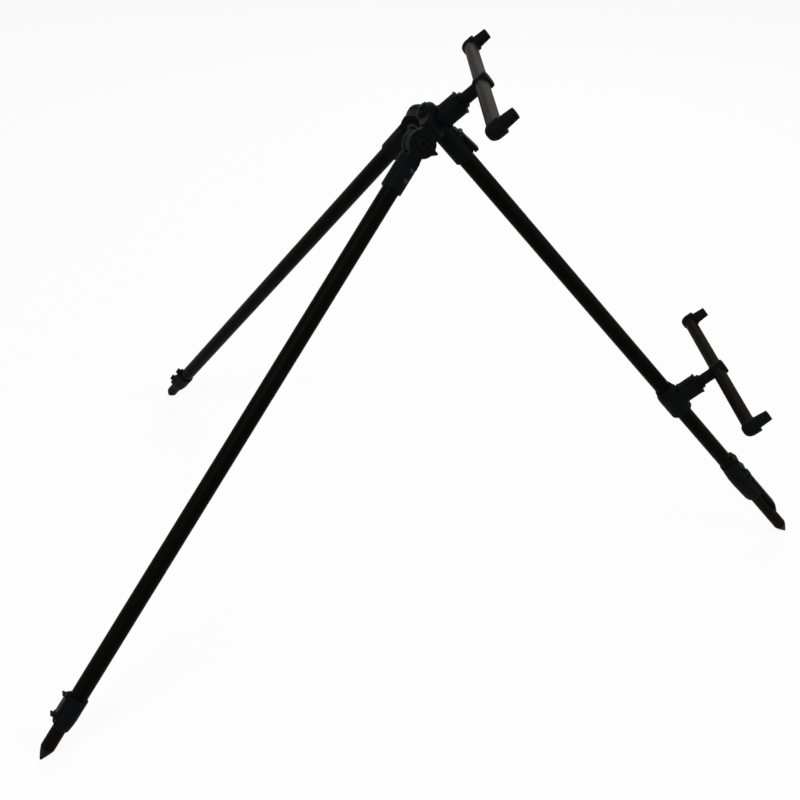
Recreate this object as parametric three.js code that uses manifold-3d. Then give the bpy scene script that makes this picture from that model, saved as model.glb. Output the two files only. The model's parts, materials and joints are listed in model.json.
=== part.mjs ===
// A three-legged fishing rod pod: two rear legs fold on a moulded head that sits on the front leg,
// and the front leg carries two crossbars with threaded rod-rest posts.
// Millimetres, +Z up. The three spikes stand on z = 0, and the front leg points along +X.

import * as THREE from 'three';
import { mergeVertices } from 'three/addons/utils/BufferGeometryUtils.js';
import Module from 'manifold-3d';

const wasm = await Module();
wasm.setup();

// Fits and roundness
const fitGap = 0.3;
const cutOverrun = 4;
const weldDistance = 1e-4;
const tubeSides = 24;
const bossSides = 20;
const insertSides = 16;
const screwSides = 10;
const hexSides = 6;
const arcSteps = 4;
const noSize = 1e-6;

// Stance: the rear legs swing open from beside the front leg, on axes tilted either way
const openingAngle = THREE.MathUtils.degToRad(78.3);
const hingeTilt = THREE.MathUtils.degToRad(25.8);
const hingeSideways = 40;
const hingeBelow = 22;

// Leg tubes
const outerTubeRadius = 10;
const outerTubeWall = 1.2;
const innerTubeRadius = 8.2;
const innerTubeWall = 1.2;
const rearLegReach = 793;
const frontLegReach = 787;
const rearTubeStart = 24.6;
const frontTubeStart = 9;
const innerTubeStart = 42;
const bushHeadLength = 14;
const bushPlugLength = 22;

// Spikes
const spikeConeLength = 17;
const spikeTipRadius = 1;
const spikeWaist = 5.6;
const spikeWaistHeight = 9;
const spikePlugLength = 26;

// Head
const barrelWall = 2.2;
const headSocketEnd = 57;
const headCrownHeight = 12;
const headCrownDome = 9;
const headCrownRadius = 5.5;
const stemOffset = 5;
const pedestalRadius = 11.6;
const pedestalTop = 11.8;
const tongueRadius = 15;
const tongueThickness = 12;
const armHalfHeight = 13;
const armHalfWidth = 9;
const armRootLength = 6;
const armChamfer = 2;

// Hinges of the rear legs
const cheekRadius = 15.8;
const cheekThickness = 6;
const cheekTaperEnd = 27;
const cheekTaperHalf = 9.5;
const rearSocketEnd = 58;
const rearSocketFloor = 16.4;
const stopNubReach = 20.6;
const stopNubHalf = 1.6;
const boltRadius = 4;
const boltHeadRadius = 7;
const boltHeadHeight = 4;
const boltHeadSunk = 3;
const nutAcross = 7.6;
const nutHeight = 5;
const nutSunk = 2;
const socketScrewRadius = 1.3;
const socketScrewHeadRadius = 2.6;
const socketScrewHeadHeight = 1.3;
const socketScrewPlaces = [29.5, 42.5];
const socketScrewTurn = THREE.MathUtils.degToRad(26);

// Cam locks: shared sizes
const lockWall = 1.7;
const lockPinRadius = 1.5;
const leverWidth = 9.4;
const lugThickness = 2.8;
const camReach = 3.1;
const leverPinHeight = 11.6;
const camClearance = 1.6;

// Rear lock, with a short lever that points up the leg
const rearLockLength = 40;
const rearLockBottom = 42.5;
const rearLockTaper = 15;
const rearLockTaperDrop = 1.7;
const rearLockSeat = 24;
const rearPinFromBottom = 9;
const rearLeverTop = 29;
const rearLeverFace = 13.2;
const rearFinReach = 18.2;
const rearFinThickness = 2.4;
const rearHeelRise = 3.2;
const rearPinHeight = 11.2;
const rearCamReach = 2.7;
const rearRailHeight = 12.7;
const rearLugHeight = 13.8;
const rearLugHalf = 3;

// Front lock, with a long lever that points down over the inner tube
const frontLockLength = 72;
const frontLockBottom = 88;
const frontLockTopWall = 1.1;
const frontLockSkirt = 29;
const frontLockBulge = 3.2;
const frontLockSeat = 31;
const frontPinFromBottom = 33;
const frontLeverDown = 77;
const frontLeverFace = 14.2;
const frontLeverThickness = 4.8;
const frontLeverBevel = 12;
const frontRibReach = 14.6;
const frontRibLength = 14;
const frontRibPitch = 19;
const frontKnuckleBevel = 2.3;

// Cam lever on the head's socket
const headPinPlace = 31.5;
const headPinHeight = 13.4;
const headLeverFace = 17.6;
const headLeverTip = 58.6;
const headLeverThickness = 4.8;
const headLugHeight = 16.6;

// Lock nuts, ferrules, collets and stems that carry the crossbars
const stemRadius = 7.25;
const colletWall = 1.1;
const colletRimHeight = 5;
const colletRimWidth = 1;
const ferruleWall = 2;
const ferruleLength = 18;
const lockNutLength = 24.6;
const lockNutRadius = 13.3;
const lockNutLip = 1.2;
const lockNutLipThickness = 2;
const lockNutCeiling = 3.4;
const nutTabReach = 1.6;
const nutTabHalf = 2.2;

// Crossbars, each a little turned about its stem and swivelled about the leg
const barAboveSeat = 53.2;
const barHalfLength = 131;
const barRadius = 8;
const barWall = 1.2;
const barPastPost = 1;
const stemAboveSeat = 0.6;
const stemHeadRadius = 10;
const stemHeadTop = 10.9;
const stemHeadCorner = 2.4;
const stemFlareStart = 9.6;
const stemFlareEnd = 4;
const capRadius = 9.8;
const capPastPost = 2;
const capBottom = 10;
const capBottomRadius = 2.5;
const capWaist = 8.2;
const capShoulder = 9.4;
const capShoulderInset = 0.6;
const postBaseRadius = 7.4;
const postRadius = 6.3;
const postHeight = 25.3;
const insertRadius = 4.9;
const insertBoreRadius = 4.2;
const insertSunk = 3.2;
const insertLength = 11;
const upperBarTurn = THREE.MathUtils.degToRad(4);
const lowerBarTurn = THREE.MathUtils.degToRad(0.7);
const upperSwivel = THREE.MathUtils.degToRad(1.7);
const lowerSwivel = THREE.MathUtils.degToRad(-0.4);

// Slide clamp on the front leg
const clampAboveLock = 116;
const clampUpLength = 24;
const clampDownLength = 21;
const clampShoulder = 15;
const clampWall = 4.6;
const clampTopWall = 1.3;
const clampPedestalTop = 14.6;

// Worked out once for every leg
const socketBore = outerTubeRadius + fitGap;
const barrelRadius = socketBore + barrelWall;
const innerBore = innerTubeRadius + fitGap;
const outerTubeBore = outerTubeRadius - outerTubeWall;
const innerTubeBore = innerTubeRadius - innerTubeWall;
const lockRadius = socketBore + lockWall;
const cheekInner = tongueThickness / 2 + fitGap;
const cheekOuter = cheekInner + cheekThickness;
const frontLockBottomPlace = frontLegReach - frontLockBottom;
const frontLockTopPlace = frontLockBottomPlace - frontLockLength;
const clampPlace = frontLockTopPlace - clampAboveLock - clampDownLength;

// Finishes
const tubePaint = new THREE.MeshStandardMaterial({ color: 0x17161a, roughness: 0.38, metalness: 0.5 });
const innerPaint = new THREE.MeshStandardMaterial({ color: 0x1b1a1b, roughness: 0.45, metalness: 0.5 });
const blackPlastic = new THREE.MeshStandardMaterial({ color: 0x131418, roughness: 0.6, metalness: 0 });
const leverPlastic = new THREE.MeshStandardMaterial({ color: 0x0f1013, roughness: 0.5, metalness: 0 });
const upperBarPaint = new THREE.MeshStandardMaterial({ color: 0x46403c, roughness: 0.4, metalness: 0.6 });
const lowerBarPaint = new THREE.MeshStandardMaterial({ color: 0x222020, roughness: 0.4, metalness: 0.6 });
const blackSteel = new THREE.MeshStandardMaterial({ color: 0x26262a, roughness: 0.35, metalness: 0.9 });
const insertBrass = new THREE.MeshStandardMaterial({ color: 0xa9853f, roughness: 0.4, metalness: 1 });

// Turns a closed geometry into a solid that can be joined and cut.
function solid(geometry) {
  const bare = geometry.clone();
  bare.deleteAttribute('normal');
  bare.deleteAttribute('uv');
  const welded = mergeVertices(bare, weldDistance);
  const corners = welded.index.array;
  const kept = [];
  for (let i = 0; i < corners.length; i += 3) {
    const [a, b, c] = corners.slice(i, i + 3);
    if (a !== b && b !== c && c !== a) {
      kept.push(a, b, c);
    }
  }
  return new wasm.Manifold(new wasm.Mesh({
    numProp: 3,
    vertProperties: new Float32Array(welded.attributes.position.array),
    triVerts: Uint32Array.from(kept),
  }));
}

function named(name, body, material) {
  const { vertProperties, triVerts } = body.getMesh();
  const geometry = new THREE.BufferGeometry();
  geometry.setAttribute('position', new THREE.BufferAttribute(new Float32Array(vertProperties), 3));
  geometry.setIndex(Array.from(triVerts));
  const faceted = geometry.toNonIndexed();
  faceted.computeVertexNormals();
  const mesh = new THREE.Mesh(faceted, material);
  mesh.name = name;
  return mesh;
}

function signedArea(points) {
  let twice = 0;
  points.forEach(([x, y], i) => {
    const [nextX, nextY] = points[(i + 1) % points.length];
    twice += x * nextY - nextX * y;
  });
  return twice / 2;
}

// A solid of revolution about Z, from a closed profile of [radius, z] points.
function revolve(profile, sides) {
  const outline = signedArea(profile) > 0 ? [...profile] : [...profile].reverse();
  const touchesAxis = outline.some(([r]) => r === 0);
  if (touchesAxis) {
    while (!(outline[0][0] === 0 && outline[outline.length - 1][0] === 0)) {
      outline.push(outline.shift());
    }
  } else {
    outline.push(outline[0]);
  }
  const points = outline.map(([r, z]) => new THREE.Vector2(r, z));
  return solid(new THREE.LatheGeometry(points, sides).rotateX(Math.PI / 2));
}

function ring(innerRadius, outerRadius, low, high, sides = bossSides) {
  return revolve([[innerRadius, low], [outerRadius, low], [outerRadius, high], [innerRadius, high]], sides);
}

function rod(radius, low, high, sides = bossSides) {
  return revolve([[0, low], [radius, low], [radius, high], [0, high]], sides);
}

// Points on an arc about a centre, for profiles and outlines.
function arc([x, y], radius, from, to, steps = arcSteps) {
  return Array.from({ length: steps + 1 }, (_, i) => {
    const angle = from + (to - from) * i / steps;
    return [x + radius * Math.cos(angle), y + radius * Math.sin(angle)];
  });
}

// An outline of [x, y] points extruded along Z from low to high.
function prism(outline, low, high) {
  const shape = new THREE.Shape(outline.map(([x, y]) => new THREE.Vector2(x, y)));
  const geometry = new THREE.ExtrudeGeometry(shape, { depth: high - low, bevelEnabled: false });
  return solid(geometry.translate(0, 0, low));
}

// An outline in the leg's side view, [height off the axis, place along the leg], extruded across.
function sidePrism(outline, low, high) {
  const shape = new THREE.Shape(outline.map(([x, z]) => new THREE.Vector2(x, -z)));
  const geometry = new THREE.ExtrudeGeometry(shape, { depth: high - low, bevelEnabled: false });
  return solid(geometry.translate(0, 0, low).rotateX(-Math.PI / 2));
}

function block([x0, x1], [y0, y1], [z0, z1]) {
  const geometry = new THREE.BoxGeometry(x1 - x0, y1 - y0, z1 - z0);
  return solid(geometry.translate((x0 + x1) / 2, (y0 + y1) / 2, (z0 + z1) / 2));
}

// Moves a solid's geometry: the turn and the shift are given as a three.js matrix.
function moved(body, matrix) {
  const { vertProperties, triVerts } = body.getMesh();
  const geometry = new THREE.BufferGeometry();
  geometry.setAttribute('position', new THREE.BufferAttribute(new Float32Array(vertProperties), 3));
  geometry.setIndex(Array.from(triVerts));
  return solid(geometry.applyMatrix4(matrix));
}

const alongX = (x, y, z) => new THREE.Matrix4().makeTranslation(x, y, z)
  .multiply(new THREE.Matrix4().makeRotationY(Math.PI / 2));
const alongY = (x, y, z) => new THREE.Matrix4().makeTranslation(x, y, z)
  .multiply(new THREE.Matrix4().makeRotationX(-Math.PI / 2));

// The frame of a crossbar's stem: +Z out along the stem, turned about the leg by the swivel.
const swivelledSeat = (place, swivel) => new THREE.Matrix4().makeTranslation(0, 0, place)
  .multiply(new THREE.Matrix4().makeRotationZ(swivel))
  .multiply(alongX(0, 0, 0));

function joined(...bodies) {
  return bodies.reduce((sum, body) => sum.add(body));
}

// Legs. Each leg has its own frame: +Z runs down the leg from its hinge.

function outerTube(name, start, end) {
  return named(name, ring(outerTubeBore, outerTubeRadius, start, end, tubeSides), tubePaint);
}

function innerTube(name, end) {
  return named(name, ring(innerTubeBore, innerTubeRadius, innerTubeStart, end, tubeSides), innerPaint);
}

// The guide bush that closes the inner tube's top and runs in the outer tube.
function guideBush(name) {
  const plug = innerTubeBore - fitGap;
  const head = outerTubeBore - fitGap;
  const top = innerTubeStart - fitGap;
  return named(name, revolve([
    [0, top - bushHeadLength],
    [head - colletWall, top - bushHeadLength],
    [head, top - bushHeadLength + colletWall],
    [head, top],
    [plug, top],
    [plug, top + bushPlugLength],
    [0, top + bushPlugLength],
  ], bossSides), blackPlastic);
}

function spike(name, reach) {
  const plug = innerTubeBore - fitGap;
  const shoulder = reach - spikeConeLength;
  return named(name, revolve([
    [0, shoulder - spikePlugLength],
    [plug, shoulder - spikePlugLength],
    [plug, shoulder],
    [innerTubeRadius, shoulder],
    [spikeWaist, reach - spikeWaistHeight],
    [spikeTipRadius, reach],
    [0, reach],
  ], bossSides), tubePaint);
}

// The finned cam lever of a rear lock, in side view: cam, arm, finger fin and heel fin.
function rearLeverOutline(pin) {
  const tip = pin - rearLeverTop;
  const underside = lockRadius - lockWall / 2 + fitGap;
  const heel = pin - rearHeelRise;
  return [
    ...arc([rearPinHeight, pin], rearCamReach, Math.PI / 2, 3 * Math.PI / 2),
    [underside, pin - rearCamReach - rearCamReach],
    [underside, tip],
    [rearFinReach, tip],
    [rearFinReach, tip + rearFinThickness / 2],
    [rearLeverFace, tip + rearFinThickness],
    [rearLeverFace, heel],
    [rearFinReach, heel],
    [rearFinReach, heel + rearFinThickness / 2],
    [rearLeverFace, heel + rearFinThickness],
    [rearLeverFace, pin + rearCamReach / 2],
  ];
}

function rearLockHousing(name) {
  const bottom = rearLegReach - rearLockBottom;
  const top = bottom - rearLockLength;
  const seatEnd = top + rearLockSeat + fitGap;
  const pin = bottom - rearPinFromBottom;
  const lugOuter = leverWidth / 2 + fitGap + lugThickness;
  const channelHalf = leverWidth / 2 + fitGap;
  const shell = revolve([
    [socketBore, top],
    [lockRadius - lockWall / 2, top],
    [lockRadius, top + lockWall / 2],
    [lockRadius, bottom - rearLockTaper],
    [lockRadius - rearLockTaperDrop, bottom],
    [innerBore, bottom],
    [innerBore, seatEnd],
    [socketBore, seatEnd],
  ], tubeSides);
  const rails = sidePrism([
    [innerBore, top + lockWall],
    [rearRailHeight - lockWall, top + lockWall],
    [rearRailHeight, top + lockWall + lockWall],
    [rearRailHeight, pin - rearLugHalf - lockWall],
    [rearLugHeight, pin - rearLugHalf],
    [rearLugHeight, pin + rearLugHalf / 2],
    [rearRailHeight, pin + rearLugHalf],
    [innerBore, bottom - lockWall],
  ], -lugOuter, lugOuter);
  const channelFloor = lockRadius - lockWall / 2;
  const channel = block([channelFloor, rearFinReach], [-channelHalf, channelHalf], [top - cutOverrun, pin]);
  const window = block(
    [0, rearFinReach],
    [-channelHalf, channelHalf],
    [pin - rearCamReach - fitGap, bottom + cutOverrun],
  );
  const bore = joined(
    rod(socketBore, top - cutOverrun, seatEnd, tubeSides),
    rod(innerBore, seatEnd - cutOverrun, bottom + cutOverrun, tubeSides),
  );
  const pinHole = pinCutter(rearPinHeight, pin);
  return named(name, joined(shell, rails).subtract(channel).subtract(window).subtract(bore).subtract(pinHole),
    blackPlastic);
}

function pinCutter(height, place) {
  const reach = leverWidth / 2 + fitGap + lugThickness + cutOverrun;
  return moved(rod(lockPinRadius + fitGap / 2, -reach, reach, screwSides), alongY(height, 0, place));
}

function rearLockLever(name) {
  const pin = rearLegReach - rearLockBottom - rearPinFromBottom;
  const body = sidePrism(rearLeverOutline(pin), -leverWidth / 2, leverWidth / 2);
  const hole = moved(rod(lockPinRadius + fitGap, -leverWidth, leverWidth, screwSides), alongY(rearPinHeight, 0, pin));
  return named(name, body.subtract(hole), leverPlastic);
}

function lockPin(name, height, place, halfLength) {
  return named(name, moved(rod(lockPinRadius, -halfLength, halfLength, screwSides), alongY(height, 0, place)),
    blackSteel);
}

// The front lock's housing: a flared skirt over the outer tube, ribs on its back and knuckles for the lever.
function frontLockHousing(name) {
  const bottom = frontLockBottomPlace;
  const top = frontLockTopPlace;
  const seatEnd = top + frontLockSeat + fitGap;
  const pin = bottom - frontPinFromBottom;
  const shell = revolve([
    [socketBore, top],
    [socketBore + frontLockTopWall, top],
    [socketBore + frontLockBulge, top + frontLockSkirt],
    [socketBore + frontLockBulge, pin],
    [lockRadius, bottom - lockWall],
    [lockRadius - lockWall / 2, bottom],
    [innerBore, bottom],
    [innerBore, seatEnd],
    [socketBore, seatEnd],
  ], tubeSides);
  const lugOuter = leverWidth / 2 + fitGap + lugThickness;
  const channelHalf = leverWidth / 2 + fitGap;
  const ribs = [0, 1].map((i) => {
    const start = top - frontRibLength + i * frontRibPitch + frontRibLength / 2;
    return sidePrism([
      [innerBore, start],
      [socketBore + frontLockTopWall, start],
      ...arc([frontRibReach - frontLockTopWall, start + frontRibLength / 2], frontLockTopWall, -Math.PI / 2, 0),
      [frontRibReach - frontLockTopWall, start + frontRibLength],
      [innerBore, start + frontRibLength],
    ], -lugOuter, lugOuter);
  });
  const knuckle = sidePrism([
    [innerBore, pin - frontRibLength / 2],
    [frontRibReach - lockWall, pin - frontRibLength / 2],
    [frontRibReach, pin - frontRibLength / 2 + frontKnuckleBevel],
    [frontRibReach, pin + camReach],
    [lockRadius, pin + frontRibLength],
    [innerBore, pin + frontRibLength],
  ], -lugOuter, lugOuter);
  const window = block(
    [0, rearFinReach],
    [-channelHalf, channelHalf],
    [pin - camReach - camClearance, pin + camReach + camClearance],
  );
  const channel = block(
    [frontLeverFace - frontLeverThickness - fitGap, rearFinReach],
    [-channelHalf, channelHalf],
    [pin - camReach - camClearance, bottom + cutOverrun],
  );
  const bore = joined(
    rod(socketBore, top - cutOverrun - frontRibLength, seatEnd, tubeSides),
    rod(innerBore, seatEnd - cutOverrun, bottom + cutOverrun, tubeSides),
  );
  const pinHole = pinCutter(leverPinHeight, pin);
  return named(name,
    joined(shell, ...ribs, knuckle).subtract(window).subtract(channel).subtract(bore).subtract(pinHole),
    blackPlastic);
}

function frontLockLever(name) {
  const pin = frontLockBottomPlace - frontPinFromBottom;
  const tip = pin + frontLeverDown;
  const underside = frontLeverFace - frontLeverThickness;
  const body = sidePrism([
    ...arc([leverPinHeight, pin], camReach, 0, -Math.PI * 3 / 2, arcSteps + arcSteps),
    [underside, pin + camReach],
    [underside, tip],
    [frontLeverFace, tip - frontLeverBevel],
    [frontLeverFace, pin + camReach],
  ], -leverWidth / 2, leverWidth / 2);
  const hole = moved(rod(lockPinRadius + fitGap, -leverWidth, leverWidth, screwSides), alongY(leverPinHeight, 0, pin));
  return named(name, body.subtract(hole), leverPlastic);
}

// Head

function headLeverOutline() {
  const underside = headLeverFace - headLeverThickness;
  return [
    ...arc([headPinHeight, headPinPlace], camReach, 0, -Math.PI * 3 / 2, arcSteps + arcSteps),
    [underside, headPinPlace + camReach],
    [underside, headLeverTip],
    [headLeverFace + lockWall / 3, headLeverTip],
    [headLeverFace - lockWall, headPinPlace + camReach],
  ];
}

function headLever() {
  const body = sidePrism(headLeverOutline(), -leverWidth / 2, leverWidth / 2);
  const hole = moved(rod(lockPinRadius + fitGap, -leverWidth, leverWidth, screwSides),
    alongY(headPinHeight, 0, headPinPlace));
  return named('head_lever', body.subtract(hole), leverPlastic);
}

// The tongue that a rear leg's fork turns on, with its arm back to the barrel, in the hinge's frame.
function hingeTongue(side) {
  const toBarrel = new THREE.Vector2(
    hingeBelow * Math.cos(hingeTilt) + hingeSideways * Math.sin(hingeTilt),
    side * (hingeBelow * Math.sin(hingeTilt) - hingeSideways * Math.cos(hingeTilt)),
  );
  const half = tongueThickness / 2;
  const armStart = cheekRadius + fitGap + fitGap;
  const armRoot = new THREE.Vector2(armStart + armRootLength, side * half);
  const edge = toBarrel.clone().sub(armRoot).normalize().rotateAround(new THREE.Vector2(), side * Math.PI / 2)
    .multiplyScalar(armHalfWidth);
  const plate = sidePrism([
    ...arc([0, 0], tongueRadius, Math.PI / 3, Math.PI * 5 / 3, arcSteps * 3),
    [armStart + armChamfer, -armHalfHeight + armChamfer],
    [armStart + armChamfer, armHalfHeight - armChamfer],
  ], -half, half);
  const outline = [
    [armStart, side * half],
    armRoot.toArray(),
    toBarrel.clone().add(edge).toArray(),
    toBarrel.toArray(),
    toBarrel.clone().sub(edge).toArray(),
    [armStart, -side * half],
  ];
  const arm = prism(side > 0 ? [...outline].reverse() : outline, -armHalfHeight, armHalfHeight);
  const hole = moved(rod(boltRadius + fitGap, -tongueThickness, tongueThickness, bossSides), alongY(0, 0, 0));
  const place = new THREE.Matrix4().makeTranslation(-hingeBelow, side * hingeSideways, 0)
    .multiply(new THREE.Matrix4().makeRotationZ(-side * hingeTilt));
  return moved(joined(plate, arm).subtract(hole), place);
}

function headBody() {
  const barrel = revolve([
    [0, -headCrownHeight - headCrownDome],
    [headCrownRadius, -headCrownHeight - headCrownDome],
    [barrelRadius - lockWall, -headCrownHeight - lockWall],
    [barrelRadius, -headCrownHeight + lockWall],
    [barrelRadius, headSocketEnd],
    [0, headSocketEnd],
  ], tubeSides);
  const seat = swivelledSeat(stemOffset, upperSwivel);
  const pedestal = moved(rod(pedestalRadius, 0, pedestalTop), seat);
  const lugOuter = leverWidth / 2 + fitGap + lugThickness;
  const channelHalf = leverWidth / 2 + fitGap;
  const lugs = sidePrism([
    [0, headPinPlace - headLugHeight / 2],
    [barrelRadius, headPinPlace - headLugHeight / 2],
    ...arc([headPinHeight, headPinPlace], headLugHeight - headPinHeight, -Math.PI / 2, Math.PI / 2),
    [barrelRadius, headPinPlace + headLugHeight / 2],
    [0, headPinPlace + headLugHeight / 2],
  ], -lugOuter, lugOuter);
  const channel = block(
    [0, headLeverFace + cutOverrun],
    [-channelHalf, channelHalf],
    [headPinPlace - camReach - camClearance, headPinPlace + camReach + camClearance],
  );
  const shelf = block(
    [barrelRadius, headLeverFace + cutOverrun],
    [-channelHalf, channelHalf],
    [headPinPlace, headSocketEnd + cutOverrun],
  );
  const pinHole = pinCutter(headPinHeight, headPinPlace);
  const bore = rod(socketBore, frontTubeStart - fitGap, headSocketEnd + cutOverrun, tubeSides);
  const nutSeat = moved(
    rod(lockNutRadius + lockNutLip + fitGap, pedestalTop, pedestalTop + barAboveSeat),
    seat,
  );
  const arms = [1, -1].map((side) => hingeTongue(side));
  return named('head_body',
    joined(barrel, pedestal, lugs, ...arms).subtract(nutSeat).subtract(channel).subtract(shelf).subtract(bore)
      .subtract(pinHole),
    blackPlastic);
}

// Rear leg socket with the fork that turns on the head's tongue, in the leg's frame.
function rearSocket(name, side) {
  const barrel = revolve([
    [0, rearSocketFloor],
    [barrelRadius - lockWall, rearSocketFloor],
    [barrelRadius, rearSocketFloor + lockWall],
    [barrelRadius, rearSocketEnd],
    [socketBore, rearSocketEnd],
    [socketBore, rearTubeStart - fitGap],
    [0, rearTubeStart - fitGap],
  ], tubeSides);
  const outline = [
    ...arc([0, 0], cheekRadius, Math.PI * -4 / 3, Math.PI / 3, arcSteps * 4),
    [cheekTaperHalf, cheekTaperEnd],
    [-cheekTaperHalf, cheekTaperEnd],
  ];
  const cheeks = [1, -1].map((hand) => sidePrism(outline,
    hand > 0 ? cheekInner : -cheekOuter, hand > 0 ? cheekOuter : -cheekInner));
  const nub = sidePrism([
    [0, -stopNubHalf],
    [stopNubReach, -stopNubHalf],
    [stopNubReach, 0],
    [0, stopNubHalf],
  ], side > 0 ? cheekInner : -cheekOuter, side > 0 ? cheekOuter : -cheekInner);
  const boltHole = moved(rod(boltRadius + fitGap, -cheekOuter - cutOverrun, cheekOuter + cutOverrun), alongY(0, 0, 0));
  const headPocket = moved(rod(boltHeadRadius + fitGap, cheekOuter - boltHeadSunk, cheekOuter + cutOverrun),
    alongY(0, 0, 0).multiply(new THREE.Matrix4().makeRotationX(side > 0 ? 0 : Math.PI)));
  const nutPocket = moved(
    rod(nutAcross + fitGap, cheekOuter - nutSunk, cheekOuter + cutOverrun, hexSides),
    alongY(0, 0, 0).multiply(new THREE.Matrix4().makeRotationX(side > 0 ? Math.PI : 0)),
  );
  const bore = rod(socketBore, rearTubeStart - fitGap, rearSocketEnd + cutOverrun, tubeSides);
  let body = joined(barrel, ...cheeks, nub).subtract(bore).subtract(boltHole).subtract(headPocket)
    .subtract(nutPocket);
  for (const place of socketScrewPlaces) {
    body = body.subtract(moved(socketScrewCutter(), screwPlace(side, place)));
  }
  return named(name, body, blackPlastic);
}

// Where a socket screw enters: through the socket's outward side, a little towards the fold.
function screwPlace(side, place) {
  return new THREE.Matrix4().makeTranslation(0, 0, place)
    .multiply(new THREE.Matrix4().makeRotationZ(side * (Math.PI / 2 - socketScrewTurn)))
    .multiply(new THREE.Matrix4().makeRotationY(Math.PI / 2));
}

function socketScrewCutter() {
  const seat = barrelRadius - lockWall / 2;
  return joined(
    rod(socketScrewRadius + fitGap, 0, seat + noSize, screwSides),
    rod(socketScrewHeadRadius + fitGap, seat, barrelRadius + cutOverrun, screwSides),
  );
}

function socketScrew(name, side, place) {
  const seat = barrelRadius - lockWall / 2 + fitGap;
  const body = joined(
    rod(socketScrewRadius, socketBore, seat + fitGap, screwSides),
    revolve([
      [0, seat],
      [socketScrewHeadRadius, seat],
      [socketScrewHeadRadius, seat + socketScrewHeadHeight / 2],
      [socketScrewRadius, seat + socketScrewHeadHeight],
      [0, seat + socketScrewHeadHeight],
    ], screwSides),
  );
  return named(name, moved(body, screwPlace(side, place)), blackSteel);
}

function hingeBolt(name, side) {
  const seat = cheekOuter - boltHeadSunk + fitGap;
  const body = revolve([
    [0, -cheekOuter - nutHeight + nutSunk - fitGap],
    [boltRadius, -cheekOuter - nutHeight + nutSunk - fitGap],
    [boltRadius, seat],
    [boltHeadRadius, seat],
    [boltHeadRadius, seat + boltHeadHeight / 2],
    [boltRadius, seat + boltHeadHeight],
    [0, seat + boltHeadHeight],
  ], bossSides);
  const turn = new THREE.Matrix4().makeRotationX(side > 0 ? 0 : Math.PI);
  return named(name, moved(body, alongY(0, 0, 0).multiply(turn)), blackSteel);
}

function hingeNut(name, side) {
  const seat = cheekOuter - nutSunk + fitGap;
  const body = rod(nutAcross, seat, seat + nutHeight - fitGap, hexSides)
    .subtract(rod(boltRadius + fitGap / 2, 0, seat + nutHeight + cutOverrun));
  const turn = new THREE.Matrix4().makeRotationX(side > 0 ? Math.PI : 0);
  return named(name, moved(body, alongY(0, 0, 0).multiply(turn)), blackSteel);
}

function rearLeg(label, side) {
  const lockBottom = rearLegReach - rearLockBottom;
  const tubeEnd = lockBottom - rearLockLength + rearLockSeat;
  const leg = new THREE.Group();
  leg.rotation.y = -openingAngle;
  leg.add(
    rearSocket(`${label}_socket`, side),
    hingeBolt(`${label}_hinge_bolt`, side),
    hingeNut(`${label}_hinge_nut`, side),
    ...socketScrewPlaces.map((place, i) => socketScrew(`${label}_socket_screw_${i + 1}`, side, place)),
    outerTube(`${label}_outer_tube`, rearTubeStart, tubeEnd),
    innerTube(`${label}_inner_tube`, rearLegReach - spikeConeLength - fitGap),
    guideBush(`${label}_guide_bush`),
    spike(`${label}_spike`, rearLegReach),
  );
  // The lock's lever faces away from the front leg when the pod is folded.
  const lock = new THREE.Group();
  lock.rotation.z = Math.PI;
  const pin = lockBottom - rearPinFromBottom;
  lock.add(
    rearLockHousing(`${label}_lock_housing`),
    rearLockLever(`${label}_lock_lever`),
    lockPin(`${label}_lock_pin`, rearPinHeight, pin, leverWidth / 2 + fitGap + lugThickness),
  );
  leg.add(lock);
  const fold = new THREE.Group();
  fold.position.set(-hingeBelow, side * hingeSideways, 0);
  fold.rotation.z = -side * hingeTilt;
  fold.add(leg);
  return fold;
}

// Crossbar fittings, in a frame whose +X is the stem's axis out from the front leg's axis.

// The threaded ferrule that stands on the head or the slide clamp.
function ferrule(name, base) {
  const bore = stemRadius + fitGap + colletWall + fitGap;
  const body = ring(bore, bore + ferruleWall, base + fitGap, base + ferruleLength);
  return named(name, moved(body, alongX(0, 0, 0)), blackPlastic);
}

function lockNut(name, base) {
  const bore = stemRadius + fitGap + colletWall + fitGap + ferruleWall + fitGap;
  const mouth = stemRadius + fitGap + colletWall + fitGap;
  const low = base + fitGap;
  const high = base + lockNutLength;
  const lip = lockNutRadius + lockNutLip;
  const body = revolve([
    [bore, low],
    [lip, low],
    [lockNutRadius, low + lockNutLipThickness],
    [lockNutRadius, high - lockNutLipThickness],
    [lip, high - lockNutLipThickness / 2],
    [lockNutRadius, high],
    [mouth, high],
    [mouth, high - lockNutCeiling],
    [bore, high - lockNutCeiling],
  ], tubeSides);
  const tabs = [1, -1].map((hand) => block(
    hand > 0 ? [lockNutRadius - lockNutLip, lip + nutTabReach - lockNutLip] : [-lip - nutTabReach + lockNutLip,
      -lockNutRadius + lockNutLip],
    [-nutTabHalf, nutTabHalf],
    [high - lockNutLipThickness, high - lockNutLipThickness / 2],
  ));
  const turn = new THREE.Matrix4().makeRotationZ(Math.PI / 2);
  return named(name, moved(joined(body, ...tabs), alongX(0, 0, 0).multiply(turn)), blackPlastic);
}

// The split collet that the stem slides in; its rim stands out of the lock nut.
function collet(name, base) {
  const bore = stemRadius + fitGap;
  const low = base + ferruleLength / 2;
  const high = base + lockNutLength;
  const body = revolve([
    [bore, low],
    [bore + colletWall, low],
    [bore + colletWall, high + fitGap],
    [bore + colletWall + colletRimWidth, high + fitGap],
    [bore + colletWall + colletRimWidth, high + colletRimHeight - colletRimWidth],
    [bore + colletWall, high + colletRimHeight],
    [bore, high + colletRimHeight],
  ], bossSides);
  const split = block([0, stemRadius + cutOverrun], [-fitGap, fitGap], [low - cutOverrun, high - cutOverrun]);
  return named(name, moved(body.subtract(split), alongX(0, 0, 0)), leverPlastic);
}

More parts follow.
